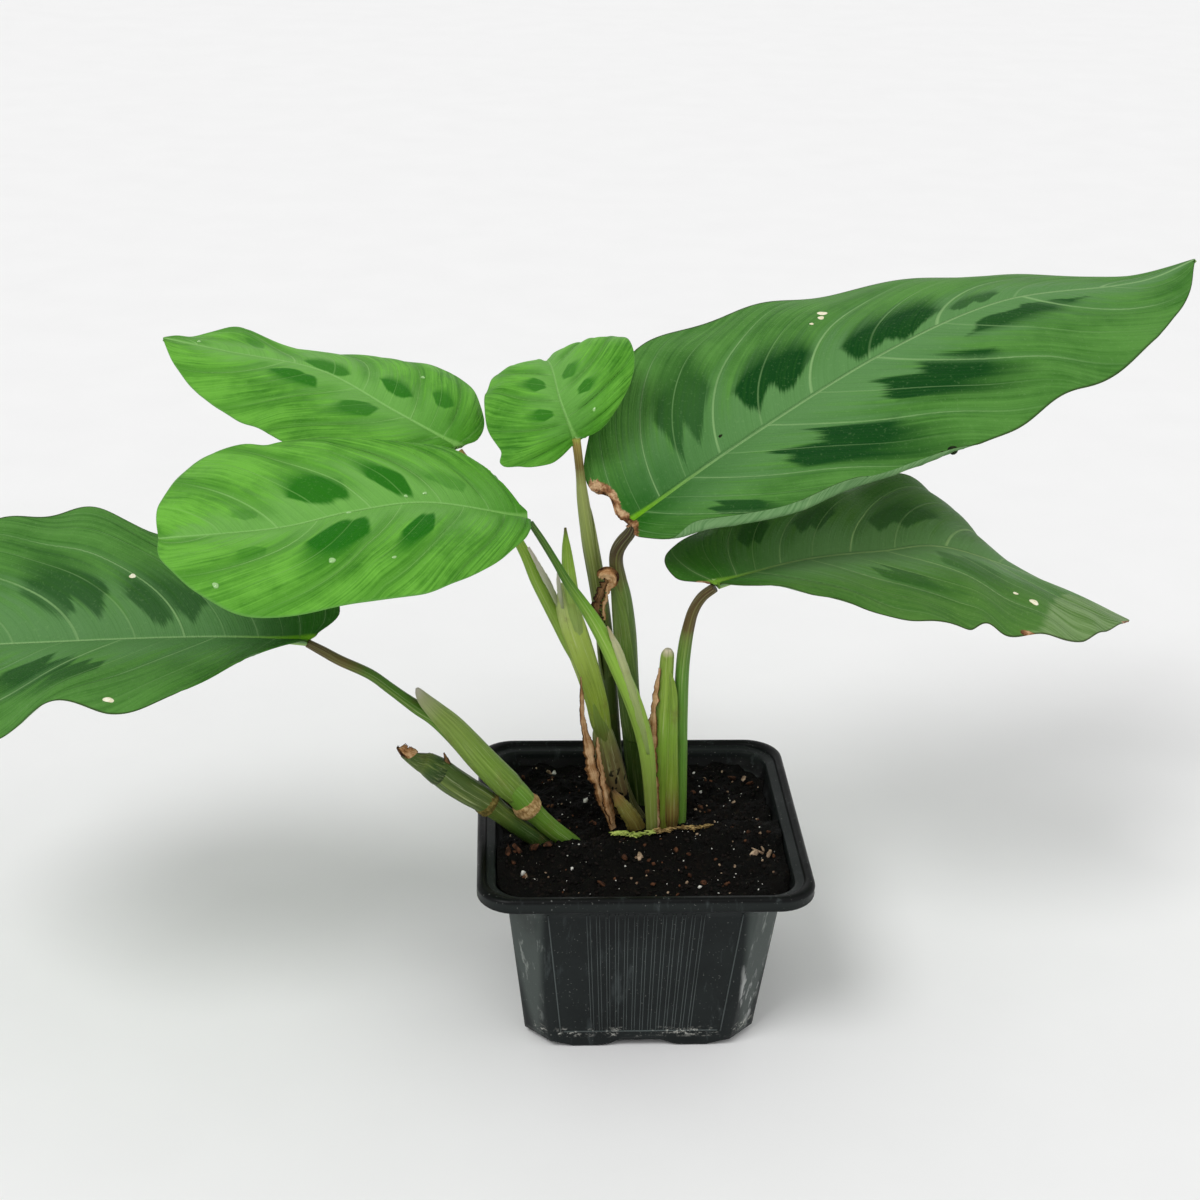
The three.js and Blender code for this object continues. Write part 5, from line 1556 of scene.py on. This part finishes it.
def add_stem_far_left(cork):
    tone = stem_material("stem_far_left_skin", [(0.0, (52, 84, 20)), (0.16, (92, 132, 38)),
        (0.24, (96, 136, 42)), (0.36, (104, 148, 48)), (0.5, (112, 152, 52)), (0.6, (96, 140, 42)),
        (0.7, (70, 116, 22)), (0.84, (72, 112, 26)), (0.9, (100, 90, 44)), (1.0, (88, 70, 42))])
    sleeve = stem_material("sleeve_far_left", [(0.0, (100, 130, 46)), (0.3, (116, 150, 54)),
        (0.75, (132, 158, 72)), (0.92, (168, 172, 128)), (1.0, (206, 198, 186))])
    parts = Parts()
    add_tube(parts, [[-8.2, -3, 32, 1.9], [-12.8, -4.2, 36.8, 1.9], [-15.2, -4.6, 39.2, 1.95],
        [-19, -5.2, 42.8, 2.05], [-22, -5.8, 46.2, 2.15], [-24, -6.2, 48.6, 2.6], [-26.3, -6.5, 51.9, 2.75],
        [-29.3, -6.8, 55.3, 2.8], [-32.9, -7, 59.2, 2.75], [-36.7, -7, 63.7, 2.6], [-40.4, -7, 67.9, 2.3],
        [-43.9, -7, 70.9, 1.8], [-47.2, -7, 73.0, 1.45], [-49.9, -7, 75.1, 1.25], [-52.9, -7, 77.6, 1.15],
        [-57, -7, 80.9, 1.1], [-63, -6.8, 83.9, 1.1], [-66.5, -6.5, 85.9, 1.05], [-69.6, -6.2, 87.6, 0.9]],
        steps=180)
    add_sheath(parts, [[-26.8, -6.5, 52.3, 2.85], [-32.9, -7, 59.4, 2.85], [-36.7, -7, 64, 2.75],
        [-40.4, -7, 68.5, 2.5], [-43.9, -7.2, 72.3, 2.0], [-46.4, -7.5, 75.2, 1.5],
        [-48.4, -7.8, 77.7, 1.15]], (0.45, -0.5, 0.7), (150, 75), slot=2, tip=0.12, seed=13, gap=0.05)
    ring_of_cork(parts, (-24.4, -6.2, 49.0), (-0.66, -0.1, 0.74), 2.95, 3.4, 1, 2)
    parts.finish("stem_far_left_skin", [tone, cork, sleeve], "green_stem", "stem_far_left")


def add_broken_stem(cork, husk, dark_husk):
    tone = stem_material("broken_stem_skin", [(0.0, (32, 52, 12)), (0.35, (52, 80, 24)),
        (0.5, (84, 104, 40)), (0.62, (72, 92, 36)), (0.85, (68, 92, 34)), (1.0, (58, 68, 28))])
    parts = Parts()
    add_tube(parts, [[-14.8, -3.2, 32.8, 1.9], [-20.4, -4.5, 38, 2.0], [-23.1, -5.1, 40.9, 2.05],
        [-26.9, -5.8, 44.4, 2.15], [-30.4, -6.4, 47.8, 2.25], [-32.4, -6.9, 49.9, 2.6],
        [-34.6, -7.4, 51.9, 2.75], [-36.9, -7.7, 53.6, 2.85], [-40.5, -7.9, 56.4, 2.95],
        [-43, -8, 58.7, 2.85], [-44.9, -8, 60.1, 2.5], [-46.6, -8, 60.9, 1.95], [-48.2, -8, 61.6, 1.4]],
        steps=140)
    ring_of_cork(parts, (-32.9, -7.0, 50.2), (-0.74, -0.14, 0.66), 2.75, 2.4, 1, 5)
    add_sheath(parts, [[-42, -7.9, 57.7, 2.9], [-44.9, -8, 60.2, 2.55], [-46.6, -8, 61.1, 2.1],
        [-48.4, -8.1, 62.2, 1.6], [-50.3, -8.2, 63.6, 1.15]], (-0.6, -0.6, -0.2), (165, 80), tip=0.1,
        ragged=0.02, seed=17, steps=50, gap=0.03)
    add_ribbon(parts, [[-40.8, -8.6, 59.6, 0.8], [-41.4, -8.6, 61.6, 0.5], [-41.9, -8.6, 63.2, 0.15]],
        (0, -1, 0.2), slot=3, steps=20, ragged=0.2, seed=18)
    add_sheath(parts, [[-48.2, -8.1, 62, 1.4], [-49.8, -8.2, 63.6, 1.2], [-50.8, -8.3, 65.2, 1.0]],
        (-0.5, -0.6, 0.2), (130, 90), slot=2, tip=0.1, ragged=0.25, seed=16, steps=30)
    parts.finish("broken_stem_skin", [tone, cork, husk, dark_husk], "green_stem", "broken_stem")


def add_husks(husk):
    tall = Parts()
    add_ribbon(tall, [[-4.2, 1.4, 34, 0.4], [-4.8, 1.2, 37.5, 0.7], [-5.8, 1.1, 40.6, 1.0],
        [-6.7, 1, 44.6, 1.55], [-8, 1, 48.6, 1.75], [-9.3, 1.1, 53.1, 1.65], [-10.6, 1.2, 58, 1.3],
        [-11.7, 1.2, 62.1, 0.8], [-12.4, 1.2, 67, 0.6], [-12.7, 1.4, 71.7, 0.42], [-13, 1.6, 75.8, 0.15]],
        (0.25, -1, 0.1), steps=140, curl=0.45, twist=16, ragged=0.16, notches=((1, 0.52, 0.5),), seed=21)
    add_ribbon(tall, [[-5.4, 0.6, 40.5, 0.5], [-6.3, 0.4, 44.5, 0.85], [-7.1, 0.4, 48.5, 0.8],
        [-7.9, 0.5, 52.2, 0.8], [-8.6, 0.6, 55.6, 0.7], [-9, 0.8, 59, 0.5], [-9.2, 1, 61.6, 0.2]],
        (0.6, -1, 0), steps=80, curl=0.7, twist=-30, ragged=0.2, notches=((-1, 0.6, 0.6), (1, 0.35, 0.4)),
        seed=25)
    tall.finish("dry_sheath_tall_skin", [husk], "dry_husk", "dry_sheath_tall")
    tone = stem_material("bract_skin", [(0.0, (92, 68, 32)), (0.3, (122, 104, 48)), (0.7, (138, 130, 60)),
        (0.92, (150, 114, 64)), (1.0, (100, 66, 38))], contrast=1.1)
    bract = Parts()
    add_ribbon(bract, [[1.2, 0.1, 34.5, 1.2], [0.5, -0.2, 38.6, 1.75], [-0.6, -0.5, 41.4, 1.95],
        [-2.2, -0.7, 44, 1.75], [-4, -0.8, 46.8, 1.3], [-5.6, -0.6, 49.4, 0.4]], (0.1, -1, 0.5), steps=70,
        curl=0.6, ragged=0.06, seed=22, thickness=0.5)
    bract.finish("bract_skin", [tone], "pale_stem", "bract")


def add_strand(parts, x, y, z, rng, length, radius, slot, seed):
    """One thin curling strand lying over the soil."""
    heading = rng.normal(0, 0.9)
    curve = rng.uniform(-1.4, 1.4)
    stations = []
    for t in np.linspace(-0.5, 0.5, 5):
        swing = heading + curve * t
        lift = 0.3 * length * (0.25 - t * t) * rng.uniform(-0.2, 1.0)
        stations.append([x + length * t * math.cos(swing), y + 0.5 * length * t * math.sin(swing), z + lift,
                         radius * (1 - abs(t))])
    add_tube(parts, stations, slot=slot, steps=12, sides=6, seed=seed)


STRANDS = 190
STRANDS_LEFT = -5.5      # the x where the strands begin, and how far they reach to the right
STRANDS_LENGTH = 21
MOSSY_SHARE = 0.42       # of that length, from the left; the rest is dry roots


def add_moss():
    """Yellow-green moss strands on the left of the ridge and a dry root mat on its right."""
    rng = np.random.default_rng(31)
    parts = Parts()
    for k in range(STRANDS):
        share = rng.uniform(0, 1) ** 0.9
        x = STRANDS_LEFT + STRANDS_LENGTH * share
        y = RIDGE_Y + 1 + RIDGE_SKEW * x + rng.normal(0, 0.55)
        z = float(soil_height(x, y)) + rng.uniform(0.4, 0.9)
        mossy = share < MOSSY_SHARE
        length = rng.uniform(1.4, 3.6) if mossy else rng.uniform(1.0, 2.6)
        radius = rng.uniform(0.14, 0.3) if mossy else rng.uniform(0.08, 0.2)
        add_strand(parts, x, y, z, rng, length, radius, 0 if mossy else 1, k)
    moss = speckled("moss_strand", (104, 124, 40), (190, 204, 112), 900)
    roots = speckled("dry_root", (96, 74, 40), (176, 150, 98), 900)
    parts.finish("moss_and_roots", [moss, roots], "moss", "moss_strands")


def add_stems():
    husk = husk_material()
    dark_husk = husk_material("dark_husk", (22, 12, 8), (76, 52, 32), (150, 114, 76))
    cork = cork_material("cork_ring", (86, 64, 34), (162, 130, 82), (212, 184, 134))
    young_cork = cork_material("young_cork_ring", (52, 52, 20), (98, 88, 42), (136, 120, 66))
    membrane = stem_material("membrane", [(0.0, (170, 182, 132)), (0.5, (206, 208, 180)),
        (1.0, (226, 216, 200))], contrast=0.5)
    add_stem_right()
    add_upper_husk(husk, dark_husk)
    add_stem_lower_right(husk)
    add_stem_centre()
    add_stem_upper_left(membrane)
    add_rolled_leaf(membrane)
    add_stem_front_left()
    add_stem_far_left(cork)
    add_broken_stem(young_cork, husk, dark_husk)
    add_husks(husk)
    add_moss()


# ---- drops and specks ---------------------------------------------------
# Marks on the blades: leaf, side, share, reach, radius. SPECKS are pale.
DROPS = [
    ("leaf_front_left", LEFT, 0.67, 0.61, 0.7), ("leaf_front_left", LEFT, 0.79, 0.91, 0.7),
    ("leaf_front_left", LEFT, 0.53, 0.71, 0.4), ("leaf_front_left", LEFT, 0.71, 0.02, 0.45),
    ("leaf_front_left", RIGHT, 0.53, 0.07, 0.45), ("leaf_front_left", RIGHT, 0.58, 0.05, 0.4),
    ("leaf_upper_left", RIGHT, 0.42, 0.62, 0.5), ("leaf_upper_left", RIGHT, 0.94, 0.3, 0.4),
    ("leaf_centre", RIGHT, 0.3, 0.35, 0.4), ("leaf_centre", RIGHT, 0.22, 0.45, 0.35),
]
SPECKS = [
    ("leaf_right", LEFT, 0.583, 0.66, 1.0), ("leaf_right", LEFT, 0.586, 0.61, 0.75),
    ("leaf_right", LEFT, 0.577, 0.57, 0.45), ("leaf_far_left", LEFT, 0.37, 0.91, 0.95),
    ("leaf_far_left", RIGHT, 0.54, 0.41, 0.7), ("leaf_lower_right", RIGHT, 0.735, 0.71, 1.0),
    ("leaf_lower_right", RIGHT, 0.725, 0.62, 0.5),
]
DARK_SPECKS = [("leaf_right", LEFT, 0.427, 0.1, 0.4), ("leaf_right", RIGHT, 0.46, 0.95, 1.1),
               ("leaf_right", RIGHT, 0.45, 0.93, 0.7)]
DROP_HEIGHT = 0.6    # of the radius
FLECK_HEIGHT = 0.12


def place_on_blade(name, side, share, reach):
    """A point on a blade's upper face, with the directions along, out and up."""
    shares = np.array([share, share + 0.004, share])
    reaches = np.array([reach, reach, reach + 0.02])
    points, upward, across = blade_surface(LEAVES[name], shares, reaches, side)
    relief, _ = blade_relief(name, shares, reaches, across, side)
    points = points + upward * relief[:, None]
    along = points[1] - points[0]
    along /= np.linalg.norm(along)
    out = points[2] - points[0]
    up = np.cross(along, out)
    up *= math.copysign(1, up[2]) / np.linalg.norm(up)
    return points[0] + up * BLADE_THICKNESS / 2, along, np.cross(up, along), up


def add_dome(parts, name, side, share, reach, radius, height, slot, rng):
    """A low round drop, or a thin uneven fleck, on a blade."""
    middle, along, out, up = place_on_blade(name, side, share, reach)
    turns = np.linspace(0, 2 * math.pi, 20, endpoint=False)
    uneven = 1 + 0.15 * np.sin(2 * turns + rng.uniform(0, 6)) + 0.08 * np.sin(3 * turns + rng.uniform(0, 6))
    rings = []
    for tilt in (-30, 0, 25, 50, 70, 85):
        r = radius * math.cos(math.radians(tilt)) * uneven
        lift = radius * height * math.sin(math.radians(tilt))
        ring = middle + along * (1.15 * r * np.cos(turns))[:, None]
        rings.append(ring + out * (0.85 * r * np.sin(turns))[:, None] + up * lift)
    parts.add(*skin(rings), slot)


def add_marks():
    """Water drops, pale flecks and dark specks on the leaves."""
    rng = np.random.default_rng(5)
    drops = Parts()
    for name, side, share, reach, radius in DROPS:
        add_dome(drops, name, side, share, reach, radius, DROP_HEIGHT, 0, rng)
    water = Nodes("water", roughness=0.06, specular=0.9).finish(tint(150, 196, 122))
    drops.finish("water_drops", [water], "light_leaf")
    flecks = Parts()
    for slot, marks in enumerate((SPECKS, DARK_SPECKS)):
        for name, side, share, reach, radius in marks:
            add_dome(flecks, name, side, share, reach, radius, FLECK_HEIGHT, slot, rng)
    pale = speckled("pale_fleck", (226, 216, 176), (250, 246, 226), 900)
    dark = speckled("dark_fleck", (12, 22, 8), (34, 44, 18), 900)
    flecks.finish("leaf_flecks", [pale, dark], "dark_leaf")


# ---- make it ------------------------------------------------------------
bpy.context.scene.view_settings.view_transform = "Standard"
add_camera()
add_studio()
add_leaves()
add_pot()
add_soil()
add_stems()
add_marks()
